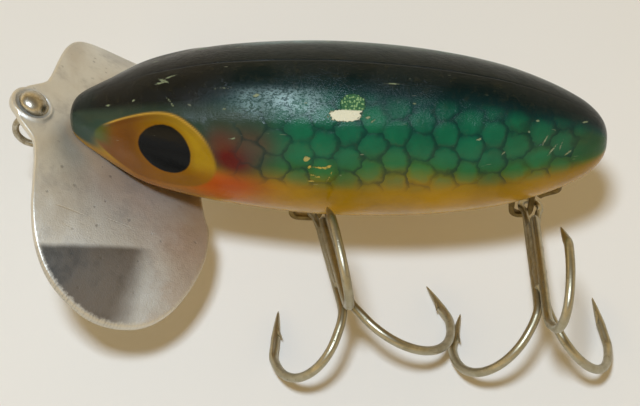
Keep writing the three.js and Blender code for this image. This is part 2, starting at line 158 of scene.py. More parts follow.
def tube(points, radius, sides=14, closed=False, squash=None, up=None):
    """A closed bar along the points. radius: number or list. squash: share of the width along the second axis."""
    p = np.asarray(points, float)
    n = len(p)
    r = np.full(n, radius, float) if np.isscalar(radius) else np.asarray(radius, float)
    tan = np.zeros_like(p)
    if closed:
        tan = np.roll(p, -1, 0) - np.roll(p, 1, 0)
    else:
        tan[1:-1] = p[2:] - p[:-2]
        tan[0], tan[-1] = p[1] - p[0], p[-1] - p[-2]
    tan /= np.linalg.norm(tan, axis=1)[:, None]
    nrm = np.zeros_like(p)
    seed = np.array([0.3, 0.2, 0.93]) if up is None else np.asarray(up, float)
    nrm[0] = unit(seed - tan[0] * (seed @ tan[0]))
    for i in range(1, n):
        q = nrm[i - 1] - tan[i] * (nrm[i - 1] @ tan[i])
        nrm[i] = unit(q)
    if closed:
        q = nrm[-1] - tan[0] * (nrm[-1] @ tan[0])
        q = unit(q)
        ang = math.atan2(np.cross(q, nrm[0]) @ tan[0], q @ nrm[0])
        for i in range(n):
            a = ang * i / n
            b = np.cross(tan[i], nrm[i])
            nrm[i] = nrm[i] * math.cos(a) + b * math.sin(a)
    bi = np.cross(tan, nrm)
    k2 = 1.0 if squash is None else squash
    verts = []
    for i in range(n):
        for j in range(sides):
            a = 2 * math.pi * j / sides
            verts.append(p[i] + r[i] * (nrm[i] * math.cos(a) + bi[i] * math.sin(a) * k2))
    faces = []
    rings = n if closed else n - 1
    for i in range(rings):
        a0, b0 = i * sides, ((i + 1) % n) * sides
        for j in range(sides):
            k = (j + 1) % sides
            faces.append((a0 + j, a0 + k, b0 + k, b0 + j))
    if not closed:
        # rounded ends
        for end, direction in ((0, -1), (n - 1, 1)):
            base = end * sides
            prev = [base + j for j in range(sides)]
            for share, push in ((0.72, 0.62), (0.38, 0.9)):
                start = len(verts)
                for j in range(sides):
                    a = 2 * math.pi * j / sides
                    verts.append(p[end] + direction * tan[end] * r[end] * push * k2
                                 + r[end] * share * (nrm[end] * math.cos(a) + bi[end] * math.sin(a) * k2))
                cur = list(range(start, start + sides))
                for j in range(sides):
                    k = (j + 1) % sides
                    f = (prev[j], prev[k], cur[k], cur[j])
                    faces.append(f if direction > 0 else tuple(reversed(f)))
                prev = cur
            tip = len(verts)
            verts.append(p[end] + direction * tan[end] * r[end] * k2)
            for j in range(sides):
                k = (j + 1) % sides
                f = (prev[j], prev[k], tip)
                faces.append(f if direction > 0 else tuple(reversed(f)))
    verts = np.array(verts)
    return verts, outward(verts, faces)


def lathe(profile, base, axis, sides=40, wobble=None):
    """A turned closed shape. profile: (radius, height) from the axis back to the axis."""
    axis = unit(axis)
    x = unit(np.cross(axis, [0.13, 0.97, 0.2]))
    y = np.cross(axis, x)
    verts, rings = [], []
    for r, h in profile:
        if r < 1e-6:
            rings.append([len(verts)])
            verts.append(base + axis * h)
        else:
            rings.append(list(range(len(verts), len(verts) + sides)))
            for j in range(sides):
                a = 2 * math.pi * j / sides
                rr = r * (1 + (wobble(a, h) if wobble else 0))
                verts.append(base + axis * h + rr * (x * math.cos(a) + y * math.sin(a)))
    faces = []
    for a, b in zip(rings[:-1], rings[1:]):
        for j in range(sides):
            k = (j + 1) % sides
            if len(a) == 1 and len(b) == 1:
                continue
            if len(a) == 1:
                faces.append((a[0], b[k], b[j]))
            elif len(b) == 1:
                faces.append((a[j], a[k], b[0]))
            else:
                faces.append((a[j], a[k], b[k], b[j]))
    verts = np.array(verts)
    return verts, outward(verts, faces)


# ------------------------------------------------------------------------------------------
# node helper for the procedural materials
# ------------------------------------------------------------------------------------------
class Nodes:
    def __init__(self, name):
        self.mat = bpy.data.materials.new(name)
        self.mat.use_nodes = True
        self.t = self.mat.node_tree
        self.t.nodes.clear()
        self.out = self.t.nodes.new("ShaderNodeOutputMaterial")
        self.bsdf = self.t.nodes.new("ShaderNodeBsdfPrincipled")
        self.t.links.new(self.bsdf.outputs[0], self.out.inputs[0])
        self.coord = self.t.nodes.new("ShaderNodeTexCoord")

    def link(self, a, b):
        self.t.links.new(a, b)

    def put(self, socket, value):
        if hasattr(value, "is_output") or isinstance(value, bpy.types.NodeSocket):
            self.link(value, socket)
        else:
            socket.default_value = value

    def attr(self, name, kind="Fac"):
        n = self.t.nodes.new("ShaderNodeAttribute")
        n.attribute_name = name
        return n.outputs[kind]

    def math(self, op, a, b=None, c=None, clamp=False):
        n = self.t.nodes.new("ShaderNodeMath")
        n.operation = op
        n.use_clamp = clamp
        self.put(n.inputs[0], a)
        if b is not None:
            self.put(n.inputs[1], b)
        if c is not None:
            self.put(n.inputs[2], c)
        return n.outputs[0]

    def vmath(self, op, a, b=None, c=None):
        n = self.t.nodes.new("ShaderNodeVectorMath")
        n.operation = op
        self.put(n.inputs[0], a)
        if b is not None:
            self.put(n.inputs[1], b)
        if c is not None:
            self.put(n.inputs[2], c)
        return n.outputs["Value"] if op in ("LENGTH", "DISTANCE", "DOT_PRODUCT") else n.outputs[0]

    def noise(self, scale, detail=4, rough=0.55, vector=None, distortion=0.0, kind="Fac"):
        n = self.t.nodes.new("ShaderNodeTexNoise")
        n.inputs["Scale"].default_value = scale
        n.inputs["Detail"].default_value = detail
        n.inputs["Roughness"].default_value = rough
        n.inputs["Distortion"].default_value = distortion
        self.link(vector if vector is not None else self.coord.outputs["Object"], n.inputs["Vector"])
        return n.outputs[kind]

    def voronoi(self, scale, feature="F1", vector=None, randomness=1.0, out="Distance"):
        n = self.t.nodes.new("ShaderNodeTexVoronoi")
        n.feature = feature
        n.inputs["Scale"].default_value = scale
        n.inputs["Randomness"].default_value = randomness
        self.link(vector if vector is not None else self.coord.outputs["Object"], n.inputs["Vector"])
        return n.outputs[out]

    def stretch(self, scale, rotation=(0, 0, 0), location=(0, 0, 0)):
        n = self.t.nodes.new("ShaderNodeMapping")
        n.inputs["Scale"].default_value = scale
        n.inputs["Rotation"].default_value = rotation
        n.inputs["Location"].default_value = location
        self.link(self.coord.outputs["Object"], n.inputs["Vector"])
        return n.outputs[0]

    def step(self, value, lo, hi, a=0.0, b=1.0):
        n = self.t.nodes.new("ShaderNodeMapRange")
        n.interpolation_type = "SMOOTHSTEP"
        n.inputs["From Min"].default_value = lo
        n.inputs["From Max"].default_value = hi
        n.inputs["To Min"].default_value = a
        n.inputs["To Max"].default_value = b
        self.put(n.inputs["Value"], value)
        return n.outputs["Result"]

    def mix(self, share, a, b, mode="MIX"):
        n = self.t.nodes.new("ShaderNodeMix")
        n.data_type = "RGBA"
        n.blend_type = mode
        n.clamp_factor = True
        self.put(n.inputs[0], share)
        self.put(n.inputs[6], a if isinstance(a, bpy.types.NodeSocket) else (*a, 1.0))
        self.put(n.inputs[7], b if isinstance(b, bpy.types.NodeSocket) else (*b, 1.0))
        return n.outputs[2]

    def bump(self, height, distance, strength=1.0, normal=None):
        n = self.t.nodes.new("ShaderNodeBump")
        n.inputs["Strength"].default_value = strength
        n.inputs["Distance"].default_value = distance
        self.link(height, n.inputs["Height"])
        if normal is not None:
            self.link(normal, n.inputs["Normal"])
        return n.outputs[0]


# ------------------------------------------------------------------------------------------
# body: two moulded halves
# ------------------------------------------------------------------------------------------
PROFILE = [(0.0, 0.0), (0.35, 1.65), (0.95, 2.75), (2.2, 3.75), (4.2, 4.85), (6.9, 6.25), (10.4, 7.95), (14.6, 9.35),
           (19.8, 10.7), (26.2, 11.6), (32.0, 12.08), (37.0, 12.27), (42.0, 12.2), (47.2, 11.95), (52.0, 11.48),
           (57.3, 10.72), (62.0, 9.7), (66.4, 8.3), (70.2, 6.72), (73.0, 5.15), (74.8, 3.5), (75.7, 1.9), (76.0, 0.0)]
_pc, _ = curve([(a, b) for a, b in PROFILE], 3000)
_order = np.argsort(_pc[:, 0])


def body_radius(x):
    return np.interp(x, _pc[_order, 0], _pc[_order, 1])


# outline of the painted eye field on the left side: station (mm), angle from the belly line (degrees)
EYE_FIELD = [(5.0, 117), (7.0, 126.5), (9.3, 132.5), (12.0, 136.0), (14.0, 136.3), (15.8, 133.8), (17.6, 128), (19.2, 121),
             (20.4, 113), (21.2, 104), (21.4, 95), (20.6, 84), (18.6, 74), (16.2, 69.5), (13.5, 67), (10.7, 67), (7.8, 71), (5.6, 80), (4.4, 92), (4.2, 105)]
BROW_END = 8  # the raised brow runs along the field's outline from point 0 to this one


def to_surface(points):
    """Outline points as (station, arc length over the surface round a 12 mm radius eye zone)."""
    return np.array([(s, math.radians(a) * 9.4) for s, a in points])


def field_distance(s, angle, outline):
    """Signed distance in mm, negative inside, and the share along the outline of the nearest point."""
    ring, _ = curve(to_surface(outline), 160, closed=True)
    p = np.stack([s, angle * 9.4], -1)
    a, b = ring, np.roll(ring, -1, 0)
    best = np.full(s.shape, 1e9)
    near = np.zeros(s.shape)
    inside = np.zeros(s.shape, bool)
    for i in range(len(a)):
        ab = b[i] - a[i]
        ap = p - a[i]
        t = np.clip((ap @ ab) / (ab @ ab), 0, 1)
        d = np.hypot(ap[..., 0] - t * ab[0], ap[..., 1] - t * ab[1])
        hit = d < best
        best = np.where(hit, d, best)
        near = np.where(hit, (i + t) / len(a), near)
        cond = ((a[i, 1] > p[..., 1]) != (b[i, 1] > p[..., 1]))
        xi = (b[i, 0] - a[i, 0]) * (p[..., 1] - a[i, 1]) / (b[i, 1] - a[i, 1] + 1e-12) + a[i, 0]
        inside ^= cond & (p[..., 0] < xi)
    return np.where(inside, -best, best), near


def gauss(x, m, w):
    return np.exp(-((x - m) / w) ** 2)


LIP_A = math.radians(28)
LIP_T = np.array([math.cos(LIP_A), 0, -math.sin(LIP_A)])
LIP_N = np.array([-math.sin(LIP_A), 0, -math.cos(LIP_A)])
LIP_THICK = 0.9


def paint_colour(s, deg, side, eye, near):
    """Soft sprayed colours, with a painted highlight along the brow, as linear rgb per vertex. deg: 0 belly line to 180
    back line.
    """
    n = s.size
    s, deg, eye, near = s.ravel(), deg.ravel(), eye.ravel(), near.ravel()
    rng = np.random.default_rng(5 if side < 0 else 6)
    # slow drift, so that the bands are not ruled lines
    drift = np.zeros(n)
    for k in range(7):
        fs, fa, ph = rng.uniform(0.05, 0.35), rng.uniform(1.0, 4.5), rng.uniform(0, 6.28)
        drift += np.sin(s * fs + np.radians(deg) * fa + ph) * (4.0 / (1 + k * 0.5))
    dg = deg + drift * 0.45
    stops = [(0, (188, 154, 78)), (50, (184, 146, 46)), (66, (172, 130, 14)), (78, (158, 119, 2)), (90, (140, 107, 0)),
             (98, (104, 100, 8)), (105, (50, 92, 34)), (115, (22, 85, 54)), (137, (12, 76, 54)), (148, (8, 54, 46)),
             (156, (5, 34, 33)), (165, (2, 21, 21)), (180, (2, 16, 15))]
    xs = [a for a, _ in stops]
    cols = np.array([srgb(*c) for _, c in stops])
    col = np.stack([np.interp(dg, xs, cols[:, k]) for k in range(3)], 1)

    def over(mask, c):
        nonlocal col
        m = np.clip(mask, 0, 1)[:, None]
        col = col * (1 - m) + np.array(srgb(*c)) * m

    over(smooth(54, 72, s) * smooth(92, 108, deg) * (1 - smooth(134, 150, deg)) * 0.5, (56, 70, 30))
    # head: dark crown down to the brow, greenish nose
    over((1 - smooth(17, 27, s)) * smooth(118, 140, deg), (8, 12, 11))
    over((1 - smooth(3.0, 6.5, s)) * smooth(62, 82, deg) * (1 - smooth(104, 118, deg)), (40, 58, 42))
    over((1 - smooth(2.5, 5.0, s)) * smooth(106, 120, deg), (12, 24, 22))
    # chin and throat
    over(gauss(s, 21.5, 6.0) * (1 - smooth(84, 100, deg)) * smooth(52, 66, deg) * 0.9, (172, 76, 8))
    over(gauss(s, 12, 8) * (1 - smooth(66, 76, deg)), (150, 96, 20))
    # gill: brown shoulders, dark red heart, orange-red below
    over((1 - smooth(24.5, 32.0, s)) * smooth(92, 106, deg) * (1 - smooth(136, 150, deg)) * 0.88, (44, 58, 44))
    over(np.clip(gauss(s, 26.2, 3.3) * gauss(deg, 116, 13) * 1.1, 0, 1) * 0.85, (76, 50, 38))
    over(gauss(s, 21.8, 1.8) * gauss(deg, 119, 9) * 0.55, (88, 50, 40))
    over(np.clip(gauss(s, 24.0 + (102 - deg) * 0.05, 2.7) * gauss(deg, 105, 12) * 1.25, 0, 1), (86, 11, 2))
    over(np.clip(gauss(s, 23.2, 4.6) * gauss(deg, 83, 9.5) * 1.1, 0, 1) * 0.85, (156, 66, 0))
    # eye field
    inside = smooth(0.35, -0.25, eye)
    yellow = np.array(srgb(150, 116, 4))
    amber = np.array(srgb(104, 60, 0))
    deep = np.array(srgb(88, 48, 0))
    w = smooth(8.0, 19.0, s)[:, None]
    fieldc = amber * (1 - w) + yellow * w
    w2 = (smooth(100, 84, deg) * smooth(5, 12, s) * 0.75)[:, None]
    fieldc = fieldc * (1 - w2) + np.array(srgb(122, 72, 0)) * w2
    w3 = (gauss(s, 9.6, 1.6) * gauss(deg, 112, 20) * 0.5)[:, None]
    fieldc = fieldc * (1 - w3) + deep * w3
    w4 = (1 - smooth(4.6, 7.4, s))[:, None] * smooth(84, 100, deg)[:, None]
    fieldc = fieldc * (1 - w4) + np.array(srgb(74, 80, 24)) * w4
    m = inside[:, None]
    col = col * (1 - m) + fieldc * m
    # painted highlight: a gold glint along the top of the brow, where the ridge catches the light, partly worn gold
    # paint
    brow = gauss(eye, 0.10, 0.15) * (smooth(0.0, 0.06, near) * (1 - smooth(0.30, 0.42, near)))
    over(brow * 0.75, (206, 156, 56))
    return np.clip(col, 0, 1)


CHIPS = {  # station, angle, half length, half height, tilt: paint gone down to the cream plastic
    -1: [(38.7, 139.6, 2.15, 0.85, 0.02), (39.7, 146.9, 1.65, 1.55, 0.3)],
    1: [(52.0, 131.0, 1.2, 0.5, 0.4), (18.5, 150.0, 0.7, 0.35, 0.2)],
}
GOLDS = {  # small flakes gone down to the gold undercoat
    -1: [(33.8, 110.5, .55, .5, .3), (34.3, 105.0, .35, .3, 1.), (35.9, 104.8, 1.1, .22, -.05), (36.9, 106.2, .4, .3, .6), (34.7, 99.0, .8, .2, -.35),
         (35.4, 98.0, .5, .16, .2), (34.5, 94.5, .55, .2, -.1), (37.0, 98.5, .9, .12, 1.2), (26.6, 151.0, .5, .34, .4), (22.4, 141.0, .28, .24, 0.),
         (41.8, 139.0, .35, .3, 0.), (42.5, 137.0, .4, .16, .8), (45.0, 163.0, 1.3, .13, .06), (23.7, 121.0, .55, .16, .2), (51.1, 57.5, .42, .38, 0.),
         (66.3, 129.5, .8, .15, 1.1), (67.3, 119.0, .9, .15, .9), (68.6, 124.0, .7, .14, 1.25), (69.7, 115.5, .6, .15, .6), (65.1, 146.3, .35, .2, 0.),
         (63.9, 135.7, .22, .2, 0.), (72.0, 156.0, .5, .16, .5), (13.6, 168.0, 1.1, .2, -.55), (14.6, 171.0, 1.0, .16, .25), (13.2, 165.5, .7, .2, .1),
         (14.9, 146.5, 1.0, .13, -.9), (21.9, 156.5, 1.3, .15, .0), (6.0, 148.0, .3, .2, 0.), (9.6, 150.0, .28, .2, .5), (57.0, 128.0, .4, .2, .3),
         (48.0, 150.0, .3, .14, .2), (60.5, 118.0, .35, .14, 1.)],
    1: [(30.0, 120.0, .7, .2, .3), (44.0, 108.0, .5, .3, .9), (58.0, 140.0, .9, .14, .2), (63.0, 118.0, .4, .3, 0.), (24.0, 160.0, 1.2, .14, .1),
        (70.0, 130.0, .6, .2, .9), (12.0, 158.0, .9, .15, .5), (49.0, 96.0, .7, .16, .1), (36.0, 150.0, .4, .3, .1), (8.0, 140.0, .5, .16, .6)],
}


def flakes(s, angle, spots):
    best = np.full(s.shape, 9.0)
    for cs, ca, a, b, tilt in spots:
        dx = s - cs
        dy = (angle - math.radians(ca)) * body_radius(cs)
        u = dx * math.cos(tilt) + dy * math.sin(tilt)
        v = -dx * math.sin(tilt) + dy * math.cos(tilt)
        best = np.minimum(best, (np.hypot(u / a, v / b) - 1) * min(a, b))
    return np.clip(best, -3, 3)


def body_half(side):
    ns, na = 330, 150
    q = np.linspace(0, 1, ns)
    base = 0.5 - 0.5 * np.cos(np.pi * q)
    st = 76.0 * (0.55 * base + 0.45 * q)
    st[0], st[-1] = 0.004, 75.996
    ang = np.linspace(0, np.pi, na)
    S, A = np.meshgrid(st, ang, indexing="ij")
    eye, near = field_distance(S, A, EYE_FIELD)
    r = body_radius(S)
    cheek = 0.75 * gauss(S, 10.5, 7.5) * gauss(A, 0.95, 0.5)
    along = smooth(0.0, 0.05, near) * (1 - smooth(0.36, 0.46, near))
    ridge = np.where(eye > 0, gauss(eye, 0.0, 1.5), gauss(eye, 0.0, 0.5)) * 0.34 * along
    sunk = -0.10 * smooth(0.0, -1.2, eye) * smooth(4, 9, S)
    r = r + (cheek + ridge + sunk) * np.minimum(1, r / 3)
    seam = 0.004
    x = S
    y = side * (np.sin(A) * r)
    z = -np.cos(A) * r
    y = np.where(np.abs(y) < seam, side * seam, y)
    P = np.stack([x, y, z], -1).reshape(-1, 3)
    # cut flat where the lip lies against the head
    w = (P - LIP_O) @ LIP_N + (LIP_THICK / 2 + 0.16)
    P = P - np.clip(w, 0, None)[:, None] * LIP_N
    idx = np.arange(ns * na).reshape(ns, na)
    faces = []
    for i in range(ns - 1):
        for j in range(na - 1):
            f = (idx[i, j], idx[i + 1, j], idx[i + 1, j + 1], idx[i, j + 1])
            faces.append(f if side > 0 else f[::-1])
    n_skin = len(faces)
    for i in range(ns - 1):  # the joint face along the seam
        f = (idx[i, 0], idx[i, na - 1], idx[i + 1, na - 1], idx[i + 1, 0])
        faces.append(f if side > 0 else f[::-1])
    for i in (0, ns - 1):    # nose and tail ends
        f = tuple(idx[i, :]) if (i == 0) == (side > 0) else tuple(idx[i, ::-1])
        faces.append(f)
    flat = list(range(n_skin, len(faces)))
    faces = outward(P, faces)
    deg = np.degrees(A)
    # pupil: a slightly squared ellipse, leaning
    dx = S - 14.25
    dy = (A - math.radians(105.0)) * 9.6
    t = math.radians(-50)
    u, v = dx * math.cos(t) + dy * math.sin(t), -dx * math.sin(t) + dy * math.cos(t)
    e = (np.abs(u / 3.9) ** 2.06 + np.abs(v / 3.5) ** 2.06) ** (1 / 2.06)
    pupil = (e - 1) * 3.8
    net = smooth(22, 26, S) * (1 - smooth(69.5, 73.5, S)) * smooth(84, 98, deg) * (1 - smooth(142, 157, deg))
    floats = {
        "station": S.ravel(), "arc": ((A - math.radians(112)) * body_radius(S)).ravel(), "side": np.full(S.size, float(side)),
        "pupil": np.clip(pupil, -3, 6).ravel(), "net": net.ravel(), "eye_d": np.clip(eye, -3, 6).ravel(),
        "chip": flakes(S, A, CHIPS[side]).ravel(), "gold": flakes(S, A, [(c, d, a * 0.85, b * 0.72, t) for c, d, a, b, t in GOLDS[side]]).ravel(), "deg": deg.ravel(),
    }
    name = "body_half_painted_left" if side < 0 else "body_half_painted_right"
    return piece(name, P, faces, body_paint, "plug",
                 stands_for=("body_left_half" if side < 0 else "body_right_half",), flat=flat, floats=floats,
                 colors={"paint": paint_colour(S, deg, side, eye, near)},
                 uv=np.stack([S.ravel() / 76.0 * 0.98 + 0.01, (deg.ravel() / 180.0) * 0.48 + (0.01 if side < 0 else 0.51)], 1))


def make_body_paint():
    N = Nodes("painted moulding")
    paint = N.attr("paint", "Color")
    s, arc, side = N.attr("station"), N.attr("arc"), N.attr("side")
    comb = N.t.nodes.new("ShaderNodeCombineXYZ")
    N.link(arc, comb.inputs[0])
    N.link(s, comb.inputs[1])
    N.link(N.math("MULTIPLY", side, 37.0), comb.inputs[2])
    wob = N.noise(0.55, 2, 0.5, vector=comb.outputs[0], kind="Color")
    warp = N.vmath("MULTIPLY_ADD", N.vmath("SUBTRACT", wob, (0.5, 0.5, 0.5)), (1.7, 1.7, 0.0), comb.outputs[0])
    flatc = N.vmath("MULTIPLY", warp, (1 / 3.8, 1 / 3.8, 0.0))
    # two interleaved rectangular lattices make the staggered scale net
    period = (1.0, 1.7320508, 1.0)

    def lattice(offset):
        moved = N.vmath("ADD", flatc, offset)
        m = N.t.nodes.new("ShaderNodeVectorMath")
        m.operation = "WRAP"
        N.link(moved, m.inputs[0])
        m.inputs[1].default_value = (0.5, 0.8660254, 0.5)
        m.inputs[2].default_value = (-0.5, -0.8660254, -0.5)
        flat0 = N.vmath("MULTIPLY", m.outputs[0], (1, 1, 0))
        return flat0, N.vmath("LENGTH", flat0)
    va, la = lattice((0, 0, 0))
    vb, lb = lattice((0.5, 0.8660254, 0))
    near = N.math("MINIMUM", la, lb)
    pick = N.math("LESS_THAN", la, lb)
    cell = N.t.nodes.new("ShaderNodeMix")
    cell.data_type = "VECTOR"
    N.link(pick, cell.inputs[0])
    N.link(vb, cell.inputs[4])
    N.link(va, cell.inputs[5])
    local = cell.outputs[1]
    # one random number per scale
    centre = N.vmath("SUBTRACT", flatc, local)
    wn = N.t.nodes.new("ShaderNodeTexWhiteNoise")
    wn.noise_dimensions = "3D"
    N.link(N.vmath("SNAP", N.vmath("ADD", centre, (0.06, 0.06, 0.0)), (0.25, 0.25, 0.25)), wn.inputs["Vector"])
    rnd = wn.outputs["Value"]
    soft = N.noise(0.33, 3, 0.55, vector=comb.outputs[0])
    fine = N.noise(1.4, 4, 0.6, vector=comb.outputs[0])
    # gap between scales, wider on the tail side of each
    sep = N.t.nodes.new("ShaderNodeSeparateXYZ")
    N.link(local, sep.inputs[0])
    lean = N.math("MULTIPLY", sep.outputs[1], 0.16)
    edge_in = N.math("ADD", near, lean)
    edge_in = N.math("ADD", edge_in, N.math("MULTIPLY", N.math("SUBTRACT", fine, 0.5), 0.10))
    gap = N.step(edge_in, 0.37, 0.57)
    gap = N.math("MULTIPLY", gap, N.step(N.math("ADD", N.math("MULTIPLY", rnd, 0.55), N.math("MULTIPLY", soft, 0.6)), 0.28, 0.62, 0.25, 1.0))
    netmask = N.attr("net")
    gapk = N.math("MULTIPLY", gap, netmask, clamp=True)
    # scale bodies: lighter hearts
    heart = N.math("MULTIPLY", N.math("MULTIPLY", N.step(edge_in, 0.52, 0.20), netmask), N.step(s, 28.0, 34.0))
    tint = N.mix(N.math("MULTIPLY", heart, N.math("ADD", 0.06, N.math("MULTIPLY", soft, 0.50))), paint, srgb(18, 116, 72))
    shade = N.mix(N.math("MULTIPLY", N.math("MULTIPLY", rnd, netmask), 0.28), tint, srgb(16, 70, 60))
    shade = N.mix(N.math("MULTIPLY", gapk, 0.62), shade, srgb(4, 34, 34))
    # blotchy age over everything
    blotch = N.step(N.noise(0.16, 4, 0.6, vector=comb.outputs[0]), 0.35, 0.72)
    shade = N.mix(N.math("MULTIPLY", blotch, 0.20), shade, srgb(70, 76, 60), "MULTIPLY")
    grime = N.step(N.noise(0.9, 5, 0.7, vector=comb.outputs[0]), 0.5, 0.78)
    shade = N.mix(N.math("MULTIPLY", grime, 0.10), shade, srgb(90, 80, 44))
    # painted highlight: a pale bluish patch standing in for the lamp's sheen on the shoulder, broken up by crazing of
    # the varnish
    sheen_station_mask = N.math("MULTIPLY", N.step(s, 21.0, 28.5), N.step(s, 38.5, 32.0))
    sheen_angle_mask = N.math("MULTIPLY", N.step(N.attr("deg"), 133.0, 146.0), N.step(N.attr("deg"), 160.0, 149.0))
    craze = N.noise(4.2, 3, 0.7, vector=N.vmath("MULTIPLY", comb.outputs[0], (1.0, 0.6, 1.0)))
    painted_sheen = N.math("MULTIPLY", N.math("MULTIPLY", sheen_station_mask, sheen_angle_mask), N.math("MULTIPLY", N.step(craze, 0.44, 0.54, 0.15, 1.0), N.step(soft, 0.30, 0.62, 0.45, 1.0)))
    shade = N.mix(N.math("MULTIPLY", painted_sheen, 0.74), shade, srgb(150, 178, 176))
    # pupil
    rough_edge = N.math("MULTIPLY", N.math("SUBTRACT", fine, 0.5), 0.16)
    pup = N.step(N.math("ADD", N.attr("pupil"), rough_edge), 0.14, -0.14)
    halo = N.math("MULTIPLY", N.step(N.attr("pupil"), 0.9, -0.1), 0.45)
    shade = N.mix(halo, shade, srgb(120, 74, 0))
    shade = N.mix(pup, shade, srgb(3, 5, 7))
    # chips and flakes
    tiny = N.noise(2.6, 5, 0.7, vector=comb.outputs[0])
    jag = N.math("MULTIPLY", N.math("SUBTRACT", tiny, 0.5), 0.9)
    gold_d = N.math("ADD", N.attr("gold"), N.math("MULTIPLY", jag, 0.5))
    gold = N.step(gold_d, 0.05, -0.06)
    shade = N.mix(gold, shade, N.mix(N.step(N.attr("deg"), 104.0, 118.0), N.mix(tiny, srgb(140, 124, 40), srgb(196, 166, 78)), N.mix(tiny, srgb(74, 92, 70), srgb(160, 162, 120))))
    speck = N.step(N.voronoi(2.9, vector=comb.outputs[0]), 0.50, 0.24)
    chip_d = N.math("ADD", N.attr("chip"), N.math("MULTIPLY", jag, 0.95))
    chip = N.step(chip_d, 0.05, -0.07)
    up = N.step(N.attr("deg"), 142.6, 143.6)  # the speckled part of the chip lies above the bare part
    bare = N.mix(up, srgb(204, 198, 168), N.mix(speck, srgb(38, 84, 46), srgb(122, 152, 96)))
    shade = N.mix(chip, shade, bare)
    # hairline scratches over the whole body
    sc_v = N.vmath("MULTIPLY", comb.outputs[0], (0.9, 0.16, 1.0))
    hair = N.math("MULTIPLY", N.step(N.noise(1.9, 2, 0.5, vector=sc_v, distortion=0.6), 0.70, 0.74), N.step(N.noise(0.5, 2, 0.5, vector=comb.outputs[0]), 0.52, 0.6))
    shade = N.mix(N.math("MULTIPLY", hair, 0.35), shade, srgb(150, 150, 120))
    N.put(N.bsdf.inputs["Base Color"], shade)
    # gloss broken by fine crackle on the back
    crackle_v = N.vmath("MULTIPLY", comb.outputs[0], (1.0, 0.62, 1.0))
    crackle = N.noise(5.2, 3, 0.65, vector=crackle_v)
    back = N.step(N.attr("deg"), 128.0, 142.0)
    zone = N.math("MULTIPLY", back, N.step(N.noise(0.12, 2, 0.5, vector=comb.outputs[0]), 0.36, 0.6, 0.35, 1.0))
    rough = N.math("ADD", 0.17, N.math("MULTIPLY", N.noise(0.8, 4, 0.65, vector=comb.outputs[0]), 0.14))
    rough = N.math("ADD", rough, N.math("MULTIPLY", chip, 0.25))
    rough = N.math("ADD", rough, N.math("MULTIPLY", gold, 0.1))
    N.put(N.bsdf.inputs["Roughness"], rough)
    N.bsdf.inputs["Specular IOR Level"].default_value = 0.15
    N.bsdf.inputs["Coat Weight"].default_value = 0.06
    N.bsdf.inputs["Coat Roughness"].default_value = 0.12
    h1 = N.math("MULTIPLY", crackle, zone)
    b1 = N.bump(h1, 0.00022, 0.55)
    relief = N.math("SUBTRACT", 1.0, N.math("ADD", N.math("MULTIPLY", gapk, 0.35), chip, clamp=True))
    relief = N.math("SUBTRACT", relief, N.math("MULTIPLY", gold, 0.6))
    b2 = N.bump(relief, 0.00012, 0.9, b1)
    b3 = N.bump(N.noise(0.45, 4, 0.6, vector=comb.outputs[0]), 0.00035, 0.35, b2)
    N.link(b3, N.bsdf.inputs["Normal"])
    N.link(b2, N.bsdf.inputs["Coat Normal"])
    return N.mat


body_paint = make_body_paint()
body_half(-1)
body_half(1)


# ------------------------------------------------------------------------------------------
# lip: one bent sheet with a lug, rounded edges and its holes
# ------------------------------------------------------------------------------------------
LIP_OUTLINE = [  # right half, from the tail-side middle round the lobe to the lug; (back along the lip, sideways)
    (26.5, 0.0), (27.1, 3.2), (28.1, 7.2), (28.9, 9.2), (29.25, 11.4), (29.12, 15.6), (28.08, 19.95), (26.3, 23.45), (23.9, 25.6),
    (20.9, 26.72), (17.5, 27.12), (14.3, 26.75), (10.4, 25.42), (7.65, 23.65), (5.25, 20.8), (3.6, 17.1), (2.66, 13.0), (2.06, 9.2),
    (1.7, 7.5), (1.35, 6.3), (0.55, 5.3), (-0.5, 4.3), (-1.3, 3.45)]
LUG_R = 3.2
LIP_HOLES = [(0.0, 0.0, 0.85), (8.4, 0.0, 0.95), (13.2, 0.0, 0.95)]


def cup(v):
    return 7.2 * (np.maximum(0, np.abs(v) - 2) / 25) ** 3


def on_lip(u, v, w):
    u, v, w = np.asarray(u, float), np.asarray(v, float), np.asarray(w, float)
    return LIP_O + u[..., None] * LIP_T + v[..., None] * np.array([0, 1.0, 0]) + w[..., None] * LIP_N


def lip_outline():
    half = list(LIP_OUTLINE)
    lug = [(LUG_R * math.cos(a), LUG_R * math.sin(a)) for a in np.radians(np.linspace(118, 180, 9))]
    right = half + lug[1:]
    left = [(u, -v) for u, v in reversed(right[1:-1])]
    ring, _ = curve(right + left, 620, closed=True, per=12)
    return ring


def ring_normals(ring):
    d = np.roll(ring, -1, 0) - np.roll(ring, 1, 0)
    n = np.stack([d[:, 1], -d[:, 0]], 1)
    n /= np.linalg.norm(n, axis=1)[:, None]
    area = 0.5 * np.sum(ring[:, 0] * np.roll(ring[:, 1], -1) - np.roll(ring[:, 0], -1) * ring[:, 1])
    return n if area > 0 else -n


def inside_ring(p, ring):
    a, b = ring, np.roll(ring, -1, 0)
    res = np.zeros(len(p), bool)
    for i in range(len(a)):
        c = (a[i, 1] > p[:, 1]) != (b[i, 1] > p[:, 1])
        xi = (b[i, 0] - a[i, 0]) * (p[:, 1] - a[i, 1]) / (b[i, 1] - a[i, 1] + 1e-12) + a[i, 0]
        res ^= c & (p[:, 0] < xi)
    return res


